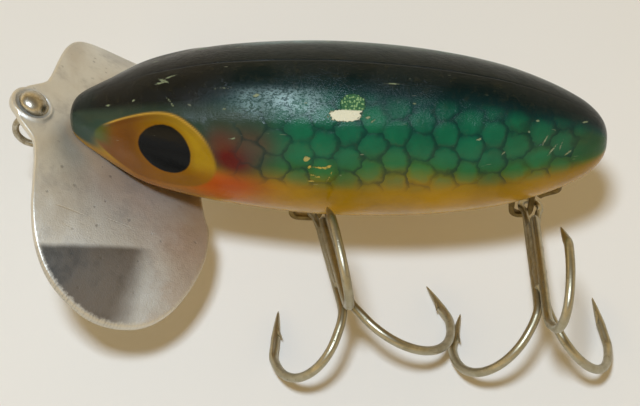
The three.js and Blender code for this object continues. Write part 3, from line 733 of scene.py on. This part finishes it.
def lip_piece():
    rings = [lip_outline()]
    for u, v, r in LIP_HOLES:
        a = np.linspace(0, 2 * np.pi, 33)[:-1]
        rings.append(np.stack([u + r * np.cos(-a), v + r * np.sin(-a)], 1))
    half = LIP_THICK / 2
    edge = 0.24
    normals = [ring_normals(rings[0])] + [-(r - np.array(h[:2])) / h[2] for r, h in zip(rings[1:], LIP_HOLES)]
    inner = [rings[0] - normals[0] * edge] + [r - n * 0.1 for r, n in zip(rings[1:], normals[1:])]
    # interior points: a staggered grid, finer round the lug
    pts = []
    for step, (u0, u1, v0, v1) in ((0.62, (-4, 31, -28, 28)), (0.2, (-3.4, 3.6, -3.4, 3.4))):
        k = 0
        for u in np.arange(u0, u1, step * 0.866):
            for v in np.arange(v0 + (k % 2) * step / 2, v1, step):
                pts.append((u, v))
            k += 1
    pts = np.array(pts)
    near_lug = (np.abs(pts[:, 0] - 0.1) < 3.7) & (np.abs(pts[:, 1]) < 3.5)
    coarse = np.arange(len(pts)) < len(pts)  # keep coarse points away from the fine patch
    n_coarse = sum(1 for _ in np.arange(-4, 31, 0.62 * 0.866)) * len(np.arange(-28, 28, 0.62))
    keep = np.ones(len(pts), bool)
    keep[:n_coarse] &= ~near_lug[:n_coarse]
    pts = pts[keep & coarse]
    ok = inside_ring(pts, inner[0])
    for (u, v, r), ring in zip(LIP_HOLES, inner[1:]):
        ok &= np.hypot(pts[:, 0] - u, pts[:, 1] - v) > r + 0.1 + 0.12
    pts = pts[ok]
    # stay a little off the outline
    d2 = np.full(len(pts), 9.0)
    for q in inner[0]:
        d2 = np.minimum(d2, np.hypot(pts[:, 0] - q[0], pts[:, 1] - q[1]))
    pts = pts[d2 > 0.13]
    allp = [tuple(p) for ring in inner for p in ring] + [tuple(p) for p in pts]
    edges, base = [], 0
    for ring in inner:
        n = len(ring)
        edges += [(base + i, base + (i + 1) % n) for i in range(n)]
        base += n
    n_edge = base
    v2, _, f2, vo, _, _ = delaunay_2d_cdt([Vector(p) for p in allp], edges, [], 0, 1e-5)
    v2 = np.array([tuple(p) for p in v2])
    where = {}
    for new, olds in enumerate(vo):
        for o in olds:
            where[o] = new
    cent = np.array([v2[list(f)].mean(0) for f in f2])
    good = inside_ring(cent, inner[0])
    for (u, v, r) in LIP_HOLES:
        good &= np.hypot(cent[:, 0] - u, cent[:, 1] - v) > r + 0.1 - 0.01
    tris = [tuple(f) for f, g in zip(f2, good) if g]
    # orientation: counter-clockwise in (u, v)
    fixed = []
    for f in tris:
        a, b, c = v2[f[0]], v2[f[1]], v2[f[2]]
        cross = (b[0] - a[0]) * (c[1] - a[1]) - (b[1] - a[1]) * (c[0] - a[0])
        fixed.append(f if cross > 0 else f[::-1])
    tris = fixed

    def relief(p, back):
        """Height of the surface off the sheet's middle, in its own direction."""
        u, v = p[:, 0], p[:, 1]
        rho = np.hypot(u, v)
        h = np.full(len(p), half)
        if back:
            h = h + 0.40 * np.exp(-((rho - 2.83) / 0.27) ** 2) - 0.10 * smooth(2.5, 2.1, rho)
        # faint hammering and dents
        h = h + 0.02 * np.sin(u * 0.9 + 1.3 * np.sin(v * 0.35)) * np.sin(v * 0.7 + 0.8 * np.sin(u * 0.5)) * smooth(4, 7, rho)
        return h
    wob = 0.16 * np.sin(v2[:, 0] * 0.21 + 0.5) * np.sin(v2[:, 1] * 0.23) * smooth(6, 16, np.hypot(v2[:, 0], v2[:, 1]))
    front = np.stack([v2[:, 0], v2[:, 1], relief(v2, False) + cup(v2[:, 1]) + wob], 1)
    back = np.stack([v2[:, 0], v2[:, 1], -relief(v2, True) + cup(v2[:, 1]) + wob], 1)
    verts = np.vstack([front, back])
    n = len(v2)
    faces = [f for f in tris] + [tuple(n + i for i in f[::-1]) for f in tris]
    # rounded edges
    offset = 0
    for ring, inn, nor, hole_edge in zip(rings, inner, normals, (edge, 0.1, 0.1, 0.1)):
        m = len(ring)
        ids_f = [where[offset + i] for i in range(m)]
        ids_b = [n + where[offset + i] for i in range(m)]
        offset += m
        rows = [ids_f]
        e = hole_edge
        wb = 0.16 * np.sin(ring[:, 0] * 0.21 + 0.5) * np.sin(ring[:, 1] * 0.23) * smooth(6, 16, np.hypot(ring[:, 0], ring[:, 1]))
        top_h = verts[ids_f, 2] - cup(inn[:, 1]) - wb
        bot_h = verts[ids_b, 2] - cup(inn[:, 1]) - wb
        for a in (30, 60, 90):
            s, c = math.sin(math.radians(a)), math.cos(math.radians(a))
            q = inn + nor * e * s
            rows.append((q, top_h - min(e, half * 0.8) * (1 - c)))
        for a in (90, 60, 30):
            s, c = math.sin(math.radians(a)), math.cos(math.radians(a))
            q = inn + nor * e * s
            rows.append((q, bot_h + min(e, half * 0.8) * (1 - c)))
        rows.append(ids_b)
        idrows = []
        for row in rows:
            if isinstance(row, list):
                idrows.append(row)
            else:
                q, h = row
                wq = 0.16 * np.sin(q[:, 0] * 0.21 + 0.5) * np.sin(q[:, 1] * 0.23) * smooth(6, 16, np.hypot(q[:, 0], q[:, 1]))
                start = len(verts)
                verts = np.vstack([verts, np.stack([q[:, 0], q[:, 1], h + cup(q[:, 1]) + wq], 1)])
                idrows.append(list(range(start, start + m)))
        for a, b in zip(idrows[:-1], idrows[1:]):
            for i in range(m):
                k = (i + 1) % m
                faces.append((a[i], b[i], b[k], a[k]))
    P = on_lip(verts[:, 0], verts[:, 1], verts[:, 2])
    # check orientation with the whole volume, with the rim strips following the outline's own direction
    faces = outward(P, faces)
    floats = {"lip_u": verts[:, 0], "lip_v": verts[:, 1], "lip_w": verts[:, 2] - cup(verts[:, 1])}
    ring = rings[0]
    dist = np.full(len(verts), 9.0)
    for q in ring[::2]:
        dist = np.minimum(dist, np.hypot(verts[:, 0] - q[0], verts[:, 1] - q[1]))
    floats["lip_edge"] = dist
    o = piece("lip_sheet", P, faces, lip_metal, "plug", stands_for=("lip_plate",), floats=floats,
              uv=np.stack([(verts[:, 1] + 30) / 60 * 0.98, (verts[:, 0] + 5) / 72 + np.where(verts[:, 2] - cup(verts[:, 1]) > 0, 0.5, 0)], 1))
    # one way round everywhere
    bm = bmesh_from(o)
    return o


def bmesh_from(o):
    import bmesh
    bm = bmesh.new()
    bm.from_mesh(o.data)
    bmesh.ops.recalc_face_normals(bm, faces=bm.faces)
    bm.to_mesh(o.data)
    bm.free()
    o.data.update()
    return None


def make_lip_metal():
    N = Nodes("worn sheet metal with painted reflections")
    u, v, w = N.attr("lip_u"), N.attr("lip_v"), N.attr("lip_w")
    comb = N.t.nodes.new("ShaderNodeCombineXYZ")
    N.link(u, comb.inputs[0])
    N.link(v, comb.inputs[1])
    N.link(N.math("MULTIPLY", N.math("SIGN", w), 40.0), comb.inputs[2])
    p = comb.outputs[0]
    big = N.noise(0.075, 4, 0.6, vector=p, distortion=0.6)
    mid = N.noise(0.28, 5, 0.65, vector=p)
    fine = N.noise(1.6, 5, 0.7, vector=p)
    dust = N.noise(5.0, 3, 0.6, vector=p)
    col = N.mix(N.step(big, 0.35, 0.66), srgb(214, 212, 202), srgb(200, 194, 180))
    col = N.mix(N.math("MULTIPLY", N.step(mid, 0.50, 0.72), 0.6), col, srgb(180, 176, 166))
    # bluish-grey oxide towards the lobe's outer corner
    ox = N.math("ADD", N.math("MULTIPLY", N.step(N.math("ABSOLUTE", v), 13.0, 22.0), N.step(u, 4.0, 12.0)), N.math("MULTIPLY", N.math("SUBTRACT", mid, 0.5), 1.1))
    ox = N.step(ox, 0.45, 0.95)
    col = N.mix(N.math("MULTIPLY", ox, 0.25), col, srgb(134, 136, 138))
    # painted reflection: a dark patch with a sharp inner edge on the outer part of the left lobe, standing in for a
    # dark reflection in the metal
    wavy = N.math("MULTIPLY", N.math("SUBTRACT", N.noise(0.13, 3, 0.55, vector=p), 0.5), 5.0)
    inner = N.step(N.math("ADD", N.math("MULTIPLY_ADD", u, -0.33, v), N.math("MULTIPLY", wavy, 0.16)), -22.9, -23.9)
    front = N.step(N.math("ADD", u, N.math("MULTIPLY", wavy, 0.7)), 22.4, 18.2)
    dark = N.math("MULTIPLY", N.math("MULTIPLY", inner, front), N.step(N.math("ADD", N.math("MULTIPLY", mid, 1.0), N.math("MULTIPLY", big, 0.6)), 0.42, 0.86, 1.0, 0.88))
    col = N.mix(N.math("MULTIPLY", dark, 0.94), col, N.mix(N.step(N.math("ADD", N.math("MULTIPLY", u, 0.05), mid), 0.7, 1.5), srgb(26, 29, 32), srgb(92, 78, 62)))
    # painted reflection: a tan tint standing in for the yellow body reflected in the sheet near it
    tan = N.step(N.math("ADD", N.step(u, 14.0, 29.0), N.math("MULTIPLY", N.math("SUBTRACT", mid, 0.5), 0.9)), 0.45, 1.0)
    col = N.mix(N.math("MULTIPLY", tan, 0.55), col, srgb(178, 150, 118))
    spots = N.step(N.math("ADD", N.voronoi(0.42, vector=p), N.math("MULTIPLY", N.math("SUBTRACT", fine, 0.5), 0.5)), 0.12, 0.04)
    col = N.mix(N.math("MULTIPLY", spots, 0.4), col, srgb(96, 88, 74))
    col = N.mix(N.math("MULTIPLY", N.step(dust, 0.56, 0.72), 0.12), col, srgb(128, 122, 110))
    # scratches: long thin lines in several directions
    lines = None
    for k, (ang, sc, lo) in enumerate(((0.35, 1.0, 0.715), (-0.9, 1.15, 0.73), (1.45, 0.85, 0.72), (2.5, 1.3, 0.735))):
        m = N.t.nodes.new("ShaderNodeMapping")
        m.inputs["Rotation"].default_value = (0, 0, ang)
        m.inputs["Scale"].default_value = (0.055 * sc, 1.5 * sc, 1)
        m.inputs["Location"].default_value = (3.1 * k, 1.7 * k, 0)
        N.link(p, m.inputs["Vector"])
        n = N.noise(1.0, 2, 0.5, vector=m.outputs[0], distortion=0.25)
        one = N.step(n, lo, lo + 0.02)
        patch = N.step(N.noise(0.16, 2, 0.5, vector=m.outputs[0]), 0.40, 0.6)
        one = N.math("MULTIPLY", one, patch)
        lines = one if lines is None else N.math("MAXIMUM", lines, one)
    col = N.mix(N.math("MULTIPLY", lines, 0.7), col, srgb(224, 220, 208))
    # painted highlight: lighter, glossier colour along the sheet's edges, where the rounded rims catch the light
    edge_highlight = N.step(N.math("ADD", N.attr("lip_edge"), N.math("MULTIPLY", N.math("SUBTRACT", fine, 0.5), 0.9)), 0.62, 0.10)
    col = N.mix(N.math("MULTIPLY", edge_highlight, 0.75), col, srgb(214, 208, 192))
    N.put(N.bsdf.inputs["Base Color"], col)
    N.bsdf.inputs["Metallic"].default_value = 0.82
    rough = N.math("ADD", 0.44, N.math("MULTIPLY", mid, 0.20))
    rough = N.math("SUBTRACT", rough, N.math("MULTIPLY", lines, 0.18))
    rough = N.math("SUBTRACT", rough, N.math("MULTIPLY", edge_highlight, 0.14))
    rough = N.math("ADD", rough, N.math("MULTIPLY", ox, 0.06))
    N.put(N.bsdf.inputs["Roughness"], rough)
    h = N.math("ADD", N.math("MULTIPLY", mid, 0.6), N.math("MULTIPLY", fine, 0.22))
    h = N.math("SUBTRACT", h, N.math("MULTIPLY", spots, 0.15))
    h = N.math("SUBTRACT", h, N.math("MULTIPLY", lines, 0.22))
    b1 = N.bump(h, 0.00022, 0.55)
    b2 = N.bump(dust, 0.00008, 0.4, b1)
    N.link(b2, N.bsdf.inputs["Normal"])
    return N.mat


lip_metal = make_lip_metal()
lip_piece()


# ------------------------------------------------------------------------------------------
# metals for the wire, the straps and the screws
# ------------------------------------------------------------------------------------------
def make_wire_metal(name, base, dark, bright, rough=0.3, stain=0.5, scale=1.0, metal=1.0):
    N = Nodes(name)
    p = N.vmath("MULTIPLY", N.coord.outputs["Object"], (1000.0, 1000.0, 1000.0))
    mid = N.noise(0.55 * scale, 5, 0.65, vector=p)
    fine = N.noise(2.6 * scale, 4, 0.65, vector=p)
    col = N.mix(N.step(mid, 0.38, 0.68), srgb(*base), srgb(*dark))
    col = N.mix(N.math("MULTIPLY", N.step(fine, 0.55, 0.75), stain), col, srgb(*bright))
    pits = N.step(N.voronoi(1.5 * scale, vector=p), 0.22, 0.08)
    pits = N.math("MULTIPLY", pits, N.step(mid, 0.42, 0.6))
    col = N.mix(N.math("MULTIPLY", pits, 0.4), col, srgb(58, 50, 36))
    N.put(N.bsdf.inputs["Base Color"], col)
    N.bsdf.inputs["Metallic"].default_value = metal
    r = N.math("ADD", rough, N.math("MULTIPLY", N.math("SUBTRACT", mid, 0.4), 0.45))
    r = N.math("ADD", r, N.math("MULTIPLY", pits, 0.25), clamp=True)
    N.put(N.bsdf.inputs["Roughness"], r)
    h = N.math("SUBTRACT", N.math("MULTIPLY", fine, 0.5), pits)
    N.link(N.bump(h, 0.00006, 0.6), N.bsdf.inputs["Normal"])
    return N.mat


hook_metal = make_wire_metal("bronzed hook wire", (172, 164, 140), (156, 148, 122), (192, 186, 166), 0.34, 0.3)
tie_metal = make_wire_metal("dull plated wire", (192, 186, 170), (150, 138, 112), (224, 220, 208), 0.30, 0.5, 1.3)
screw_metal = make_wire_metal("tarnished screw metal", (170, 156, 120), (112, 98, 66), (208, 198, 166), 0.34, 0.5, 1.2)
solder = make_wire_metal("grey solder", (168, 160, 136), (150, 142, 116), (188, 182, 160), 0.40, 0.3, 1.6)
strap_metal = make_wire_metal("stained strap", (128, 108, 62), (92, 74, 34), (164, 142, 90), 0.42, 0.5, 1.1, metal=0.8)

# ------------------------------------------------------------------------------------------
# trebles
# ------------------------------------------------------------------------------------------
HOOK_R, EYE_WIRE_R, EYE_R = 0.65, 0.5, 1.45
TREBLES = {
    "front": {"eye": (35.9, 0, -16.4), "axis": (0.2047, -0.9735, 0.0935), "hooks": (
        ((-0.641, -0.2117, -0.7378), 18.57, 13.93, 8.45, 2.74, 7.22),
        ((0.8728, 0.1347, -0.4691), 17.09, 17.42, 9.45, 2.11, 6.27),
        ((-0.1396, 0.0117, 0.9901), 18.2, 12.6, 8.3, 1.8, 4.8))},
    "rear": {"eye": (66.8, 0, -13.75), "axis": (0.0328, -0.9991, 0.0279), "hooks": (
        ((-0.6957, -0.0429, -0.7171), 17.44, 15.74, 8.39, 1.92, 5.37),
        ((0.7032, 0.0033, -0.7109), 16.97, 14.63, 8.4, 2.1, 7.87),
        ((0.1774, 0.0333, 0.9836), 19.65, 10.86, 9.34, 1.75, 5.12))},
}
SHANKS = ((-0.44, 0.62), (-0.44, -0.62), (0.95, 0.0))


def treble(which, data):
    E, d = np.array(data["eye"], float), unit(data["axis"])
    outs = [np.array(h[0], float) for h in data["hooks"]]
    third = unit(outs[2] - d * (outs[2] @ d))
    across = unit(np.cross(d, third))
    if across @ outs[0] < 0:
        across = -across
    paths, spurs = [], []
    for k, (o, shank, gap, bend, lean, point) in enumerate(data["hooks"]):
        out = np.array(o, float)
        out = unit(out - d * (out @ d))
        foot = third * SHANKS[k][0] + across * SHANKS[k][1]

        def at(g, f):
            s = min(1.0, max(0.0, (g - 0.75) / 1.5))
            return E + d * f + foot * (1 - s) + out * g * s
        start = 3.6 if k == 2 else 3.4
        pts = [at(0.75, start + (shank - start) * i / 6) for i in range(6)]
        for i in range(1, 17):
            a = math.pi * i / 16
            pts.append(at(0.75 + gap / 2 - gap / 2 * math.cos(a), shank + bend * math.sin(a)))
        for i in range(1, 5):
            pts.append(at(0.75 + gap - lean * i / 4, shank - point * i / 4))
        paths.append(pts)
        line, length = curve(pts, 400)
        inward = -out
        p0 = line[int(400 * (1 - 2.6 / length))]
        p1 = line[int(400 * (1 - 5.5 / length))]
        pm = line[int(400 * (1 - 3.7 / length))]
        spur = [p0 + inward * 0.02, pm + inward * 0.42, line[int(400 * (1 - 4.6 / length))] + inward * 0.92, p1 + inward * 1.44]
        sp, sl = curve(spur, 16)
        t = np.linspace(0, 1, 17)
        spurs.append(tube(sp, np.maximum(0.05, 0.46 * (1 - t) ** 0.75 + 0.03), 10, squash=0.6, up=inward))

    def radii(line, length, both):
        n = len(line)
        s = np.linspace(0, length, n)
        left = length - s
        r = np.where(left > 4.6, HOOK_R, 0.055 + (HOOK_R - 0.055) * np.clip(left / 4.6, 0, 1) ** 0.72)
        if both:
            r = np.minimum(r, np.where(s > 4.6, HOOK_R, 0.055 + (HOOK_R - 0.055) * np.clip(s / 4.6, 0, 1) ** 0.72))
        return r
    # the double hook is one wire: point, bend, shank, eye, shank, bend, point
    loop = []
    for a in np.radians(np.linspace(52, 308, 15)):
        loop.append(E + d * (EYE_R * math.cos(a)) + across * (EYE_R * math.sin(a)))
    up_l = [E + d * 2.35 + across * 0.86 - third * 0.14]
    up_r = [E + d * 2.35 - across * 0.86 - third * 0.14]
    whole = list(reversed(paths[0])) + up_l + loop + up_r + paths[1]
    line, length = curve(whole, 460, per=30)
    r = radii(line, length, True)
    at_eye = np.linalg.norm(line - E, axis=1)
    r = np.where(at_eye < 3.6, np.minimum(r, EYE_WIRE_R + (HOOK_R - EYE_WIRE_R) * smooth(2.2, 3.6, at_eye)), r)
    v, f = join_parts([tube(line, r, 16, up=third), spurs[0], spurs[1]])
    body = which + "_treble"
    piece(which + "_treble_looped_double_hook", v, f, hook_metal, body, stands_for=(which + "_treble_double_hook",))
    line, length = curve(paths[2], 240, per=30)
    v, f = join_parts([tube(line, radii(line, length, False), 16, up=across), spurs[2]])
    piece(which + "_treble_third_hook", v, f, hook_metal, body, stands_for=(which + "_treble_single_hook",))
    # solder that fills the grooves between the three shanks
    shank = min(h[1] for h in data["hooks"])
    core = [E + d * f_ + third * 0.03 for f_ in np.linspace(3.7, shank + 0.4, 40)]
    rr = 1.04 + 0.05 * np.sin(np.linspace(0, 19, 40)) + 0.03 * np.sin(np.linspace(0, 53, 40))
    rr[0], rr[1], rr[-1] = 0.5, 0.86, 0.6
    v, f = tube(core, rr, 18, up=third)
    piece(which + "_treble_solder", v, f, solder, body)


for key, data in TREBLES.items():
    treble(key, data)


# ------------------------------------------------------------------------------------------
# hangers: bent strap with wide tabs and a narrow arch
# ------------------------------------------------------------------------------------------
def chamfered_plate(width, thick, e=0.1):
    """Cross-section corners of a strap, as (across, through) pairs, going round."""
    w, t = width / 2, thick / 2
    return [(-w + e, -t), (w - e, -t), (w - e * 0.3, -t + e * 0.3), (w, -t + e), (w, t - e), (w - e * 0.3, t - e * 0.3), (w - e, t),
            (-w + e, t), (-w + e * 0.3, t - e * 0.3), (-w, t - e), (-w, -t + e), (-w + e * 0.3, -t + e * 0.3)]


def strap(line, widths, thick):
    """line: (x, z) points along the strap's middle; widths: full width at each."""
    p = np.asarray(line, float)
    tan = np.gradient(p, axis=0)
    tan /= np.linalg.norm(tan, axis=1)[:, None]
    nrm = np.stack([-tan[:, 1], tan[:, 0]], 1)
    verts, m = [], 12
    for i in range(len(p)):
        for a, b in chamfered_plate(max(widths[i], 0.5), thick, 0.11):
            x, z = p[i] + nrm[i] * b
            verts.append((x, a, z))
    faces = []
    for i in range(len(p) - 1):
        for j in range(m):
            k = (j + 1) % m
            faces.append((i * m + j, i * m + k, (i + 1) * m + k, (i + 1) * m + j))
    faces.append(tuple(range(m)))
    faces.append(tuple(reversed(range((len(p) - 1) * m, len(p) * m))))
    v = np.array(verts)
    return v, outward(v, faces)


def hanger(which, eye, span, front, rear):
    t = 0.4
    gap = 0.15
    rear_leg, front_leg = eye[0], eye[0] - span

    def belly(x):
        return -(body_radius(x) + gap + t + 0.02)
    bottom = eye[2] - 0.5 - 0.5 - t
    rnd = 0.9
    mid = [(front_leg - front, float(belly(front_leg - front))), (front_leg - rnd, float(belly(front_leg - rnd))),
           (front_leg - 0.25, float(belly(front_leg)) - 0.3), (front_leg, float(belly(front_leg)) - 0.9), (front_leg, bottom + rnd), (front_leg + 0.27, bottom + 0.27),
           (front_leg + rnd, bottom), (rear_leg - rnd, bottom), (rear_leg - 0.27, bottom + 0.27), (rear_leg, bottom + rnd), (rear_leg, float(belly(rear_leg)) - 0.9),
           (rear_leg + 0.25, float(belly(rear_leg)) - 0.3), (rear_leg + rnd, float(belly(rear_leg + rnd))), (rear_leg + rear, float(belly(rear_leg + rear)))]
    dense = []
    for a, b in zip(mid[:-1], mid[1:]):
        n = max(2, int(math.hypot(b[0] - a[0], b[1] - a[1]) / 0.16))
        for i in range(n):
            dense.append((a[0] + (b[0] - a[0]) * i / n, a[1] + (b[1] - a[1]) * i / n))
    dense.append(mid[-1])
    q = np.array(dense)
    for _ in range(4):  # ease the corners
        q[1:-1] = 0.25 * q[:-2] + 0.5 * q[1:-1] + 0.25 * q[2:]
    x, z = q[:, 0], q[:, 1]
    top = np.array([belly(v) for v in x])
    depth = top - z                      # below the belly line
    on_tab = np.clip(1 - (depth - 0.28) / 0.35, 0, 1)
    width = 0.95 + (6.2 - 0.95) * on_tab ** 0.6
    end = np.minimum(x - x[0], x[-1] - x)  # rounded tab ends
    rounding = np.clip(end / 0.9, 0, 1)
    width = width * (0.62 + 0.38 * np.sqrt(1 - (1 - rounding) ** 2))
    v, f = strap(q, width, 0.8)
    piece(which + "_hanger_bent_strap", v, f, strap_metal, "plug", stands_for=(which + "_hanger_strap",))
    spots = (front_leg - front * 0.55, rear_leg + rear * 0.58)
    for tag, sx, (a, b) in (("a", spots[0], (mid[0], mid[1])), ("b", spots[1], (mid[-2], mid[-1]))):
        slope = (b[1] - a[1]) / (b[0] - a[0])
        into = unit((-slope, 0, 1))
        seat = np.array([sx, 0, a[1] + slope * (sx - a[0])]) - into * t
        screw(f"{which}_hanger_round_screw_{tag}", seat, into, 1.35, 0.75, 0.55, 5.2, (f"{which}_hanger_screw_{tag}",), 25 if tag == "a" else -40)


def screw(name, seat, into, head_r, head_h, shaft_r, length, stands_for, turn):
    """A domed head with a milled slot and a threaded shaft."""
    g = 0.13
    prof = [(0.0, -head_h - g)]
    for a in np.radians([12, 24, 36, 48, 60, 72, 82]):
        prof.append((head_r * math.sin(a), -g - 0.16 - (head_h - 0.16) * math.cos(a)))
    prof += [(head_r, -g - 0.12), (head_r * 0.985, -g - 0.03), (head_r * 0.95, -g), (shaft_r, -g)]
    h = 0.25
    pitch = 0.42
    while h < length - 1.0:
        prof += [(shaft_r * 0.82, h), (shaft_r, h + pitch * 0.5)]
        h += pitch
    prof += [(shaft_r * 0.6, length - 0.5), (0.0, length)]
    v, f = lathe(prof, seat, into, 44)
    o = piece(name, v, f, screw_metal, "plug", stands_for=stands_for)
    # slot, cut with a boolean
    side = unit(np.cross(into, [0.2, 0.9, 0.1]))
    a = math.radians(turn)
    side = side * math.cos(a) + np.cross(into, side) * math.sin(a)
    other = np.cross(into, side)
    c = seat - into * (head_h + g)
    corners = [c + side * sx * head_r * 1.3 + other * sy * 0.16 + into * sz for sx in (-1, 1) for sy in (-1, 1) for sz in (-0.5, 0.34)]
    me = bpy.data.meshes.new("cutter")
    me.from_pydata([tuple(p) for p in to_row(corners)], [], [(0, 1, 3, 2), (4, 6, 7, 5), (0, 4, 5, 1), (2, 3, 7, 6), (0, 2, 6, 4), (1, 5, 7, 3)])
    cutter = bpy.data.objects.new("cutter", me)
    bpy.context.scene.collection.objects.link(cutter)
    m = o.modifiers.new("slot", "BOOLEAN")
    m.operation = "DIFFERENCE"
    m.solver = "EXACT"
    m.object = cutter
    bpy.context.view_layer.update()
    dg = bpy.context.evaluated_depsgraph_get()
    new = bpy.data.meshes.new_from_object(o.evaluated_get(dg), depsgraph=dg)
    o.modifiers.remove(m)
    o.data = new
    new.name = name
    bpy.data.objects.remove(cutter)
    new.set_sharp_from_angle(angle=math.radians(38))
    return o


hanger("front", TREBLES["front"]["eye"], 4.2, 4.0, 4.2)
hanger("rear", TREBLES["rear"]["eye"], 2.8, 4.0, 3.6)
for tag, u in (("front", 8.4), ("rear", 13.2)):
    screw(f"lip_round_screw_{tag}", LIP_O + LIP_T * u + LIP_N * (LIP_THICK / 2), -LIP_N, 1.9, 1.0, 0.75, 7.0, (f"lip_screw_{tag}",), 15 if tag == "front" else 70)

# ------------------------------------------------------------------------------------------
# line tie
# ------------------------------------------------------------------------------------------
TIE_C = LIP_O + np.array([0.1, 0, -4.35])
tie = [LIP_O + LIP_N * w for w in (-0.75, -0.3, 0.2, 0.6)]
for i in range(25):
    a = math.radians(62) - math.radians(334) * i / 24
    tie.append(TIE_C + np.array([-math.cos(a) * 2.65, 0, math.sin(a) * 2.65]))
line, length = curve(tie, 150, per=30)
v, f = tube(line, 0.5, 18, up=(0, 1, 0))
piece("line_tie_wire_ring", v, f, tie_metal, "line_tie", stands_for=("line_tie_eye",))
g = LIP_THICK / 2 + 0.15
prof = [(0.6, g), (1.86, g), (2.06, g + 0.06), (2.12, g + 0.2)]
for a in np.radians([10, 22, 34, 46, 58, 70, 80]):
    prof.append((2.12 * math.cos(a) ** 0.9, g + 0.22 + 1.36 * math.sin(a)))
prof += [(0.0, g + 1.59)]
prof = [(0.0, g + 0.5), (0.58, g + 0.48)] + prof
v, f = lathe(prof, LIP_O, -LIP_N, 48, wobble=lambda a, h: 0.012 * math.sin(3 * a + 1) + 0.008 * math.sin(7 * a + h * 3))
piece("line_tie_rivet_dome", v, f, tie_metal, "line_tie", stands_for=("line_tie_dome",))
g = LIP_THICK / 2 + 0.06
prof = [(0.95, g + 0.04), (0.99, g), (1.68, g), (1.75, g + 0.05), (1.75, g + 0.25), (1.68, g + 0.3), (0.99, g + 0.3), (0.95, g + 0.26)]
x = unit(np.cross(LIP_N, [0, 1, 0]))
y = np.cross(LIP_N, x)
verts = []
for r_, h_ in prof:
    for j in range(40):
        a = 2 * math.pi * j / 40
        verts.append(LIP_O + LIP_N * h_ + r_ * (x * math.cos(a) + y * math.sin(a)))
faces = []
for i in range(len(prof)):
    for j in range(40):
        k = (j + 1) % 40
        i2 = (i + 1) % len(prof)
        faces.append((i * 40 + j, i * 40 + k, i2 * 40 + k, i2 * 40 + j))
piece("line_tie_thin_washer", np.array(verts), outward(np.array(verts), faces), tie_metal, "line_tie", stands_for=("line_tie_washer",))

# ------------------------------------------------------------------------------------------
# floor, lights, camera
# ------------------------------------------------------------------------------------------
sc = bpy.context.scene
sc.view_settings.view_transform = "Standard"
sc.view_settings.look = "None"


def make_floor():
    me = bpy.data.meshes.new("floor")
    s = 0.9
    me.from_pydata([(-s, -s, 0), (s, -s, 0), (s, s, 0), (-s, s, 0)], [], [(0, 1, 2, 3)])
    o = bpy.data.objects.new("floor", me)
    sc.collection.objects.link(o)
    o.location = (0, 0, -0.00002)
    N = Nodes("pale table")
    p = N.coord.outputs["Object"]
    n = N.noise(9.0, 3, 0.5, vector=p)
    N.put(N.bsdf.inputs["Base Color"], N.mix(N.step(n, 0.3, 0.7), srgb(226, 220, 208), srgb(222, 217, 206)))
    N.bsdf.inputs["Roughness"].default_value = 0.7
    N.bsdf.inputs["Specular IOR Level"].default_value = 0.3
    me.materials.append(N.mat)


make_floor()

world = bpy.data.worlds.new("room")
sc.world = world
world.use_nodes = True
bg = world.node_tree.nodes["Background"]
# a dim room: dark overhead, a warm band part way up, neutral at the horizon
wt = world.node_tree
where = wt.nodes.new("ShaderNodeTexCoord")
split = wt.nodes.new("ShaderNodeSeparateXYZ")
wt.links.new(where.outputs["Generated"], split.inputs[0])


def world_ramp(socket, x0, x1, y0, y1):
    m = wt.nodes.new("ShaderNodeMapRange")
    m.interpolation_type = "SMOOTHSTEP"
    wt.links.new(socket, m.inputs[0])
    for i, v in enumerate((x0, x1, y0, y1)):
        m.inputs[i + 1].default_value = v
    return m.outputs[0]


def world_math(op, a, b):
    m = wt.nodes.new("ShaderNodeMath")
    m.operation = op
    wt.links.new(a, m.inputs[0])
    if isinstance(b, (int, float)):
        m.inputs[1].default_value = b
    else:
        wt.links.new(b, m.inputs[1])
    return m.outputs[0]


height = world_math("MINIMUM", world_ramp(split.outputs[2], 0.15, 0.32, 0.70, 1.40), world_ramp(split.outputs[2], 0.30, 0.68, 1.40, 0.24))
tone = wt.nodes.new("ShaderNodeMix")
tone.data_type = "RGBA"
wt.links.new(world_ramp(split.outputs[2], 0.13, 0.30, 0.0, 1.0), tone.inputs[0])
tone.inputs[6].default_value = (1.0, 0.965, 0.91, 1)
tone.inputs[7].default_value = (1.0, 0.76, 0.40, 1)
wt.links.new(tone.outputs[2], bg.inputs[0])
aside = world_ramp(split.outputs[0], -0.9, 0.9, 1.15, 0.85)
wt.links.new(world_math("MULTIPLY", height, aside), bg.inputs[1])


def area(name, location, target, size, power, colour=(1, 1, 1), size_y=None):
    l = bpy.data.lights.new(name, "AREA")
    l.energy = power
    l.color = colour
    l.size = size
    if size_y:
        l.shape = "RECTANGLE"
        l.size_y = size_y
    o = bpy.data.objects.new(name, l)
    sc.collection.objects.link(o)
    o.location = location
    o.rotation_euler = (Vector(target) - Vector(location)).to_track_quat("-Z", "Y").to_euler()
    return o


area("overhead", (-0.06, -0.12, 0.478), (0, 0, 0.01), 0.07, 2.15, (0.68, 0.81, 1.0))

CAM_D = 250.0
roll = math.radians(-2.66)
tilt = math.radians(-(90 - 44))
RZ = np.array([[math.cos(roll), -math.sin(roll), 0], [math.sin(roll), math.cos(roll), 0], [0, 0, 1]])
RX = np.array([[1, 0, 0], [0, math.cos(tilt), -math.sin(tilt)], [0, math.sin(tilt), math.cos(tilt)]])
R = RZ @ RX
N0 = np.array([(70 - 320) / 7.07, -(115.5 - 203) / 7.07, 0.0])
eye_plug = R.T @ (np.array([0, 0, CAM_D]) - N0)
pos = to_row(eye_plug)[0]
axes = ROT @ R.T
cam_data = bpy.data.cameras.new("camera")
cam_data.sensor_width = 36.0
cam_data.lens = 7.07 * CAM_D / 640 * 36.0
cam_data.clip_start = 0.01
cam = bpy.data.objects.new("camera", cam_data)
sc.collection.objects.link(cam)
M = Matrix.Identity(4)
for i in range(3):
    for j in range(3):
        M[i][j] = axes[i, j]
    M[i][3] = pos[i]
cam.matrix_world = M
sc.camera = cam
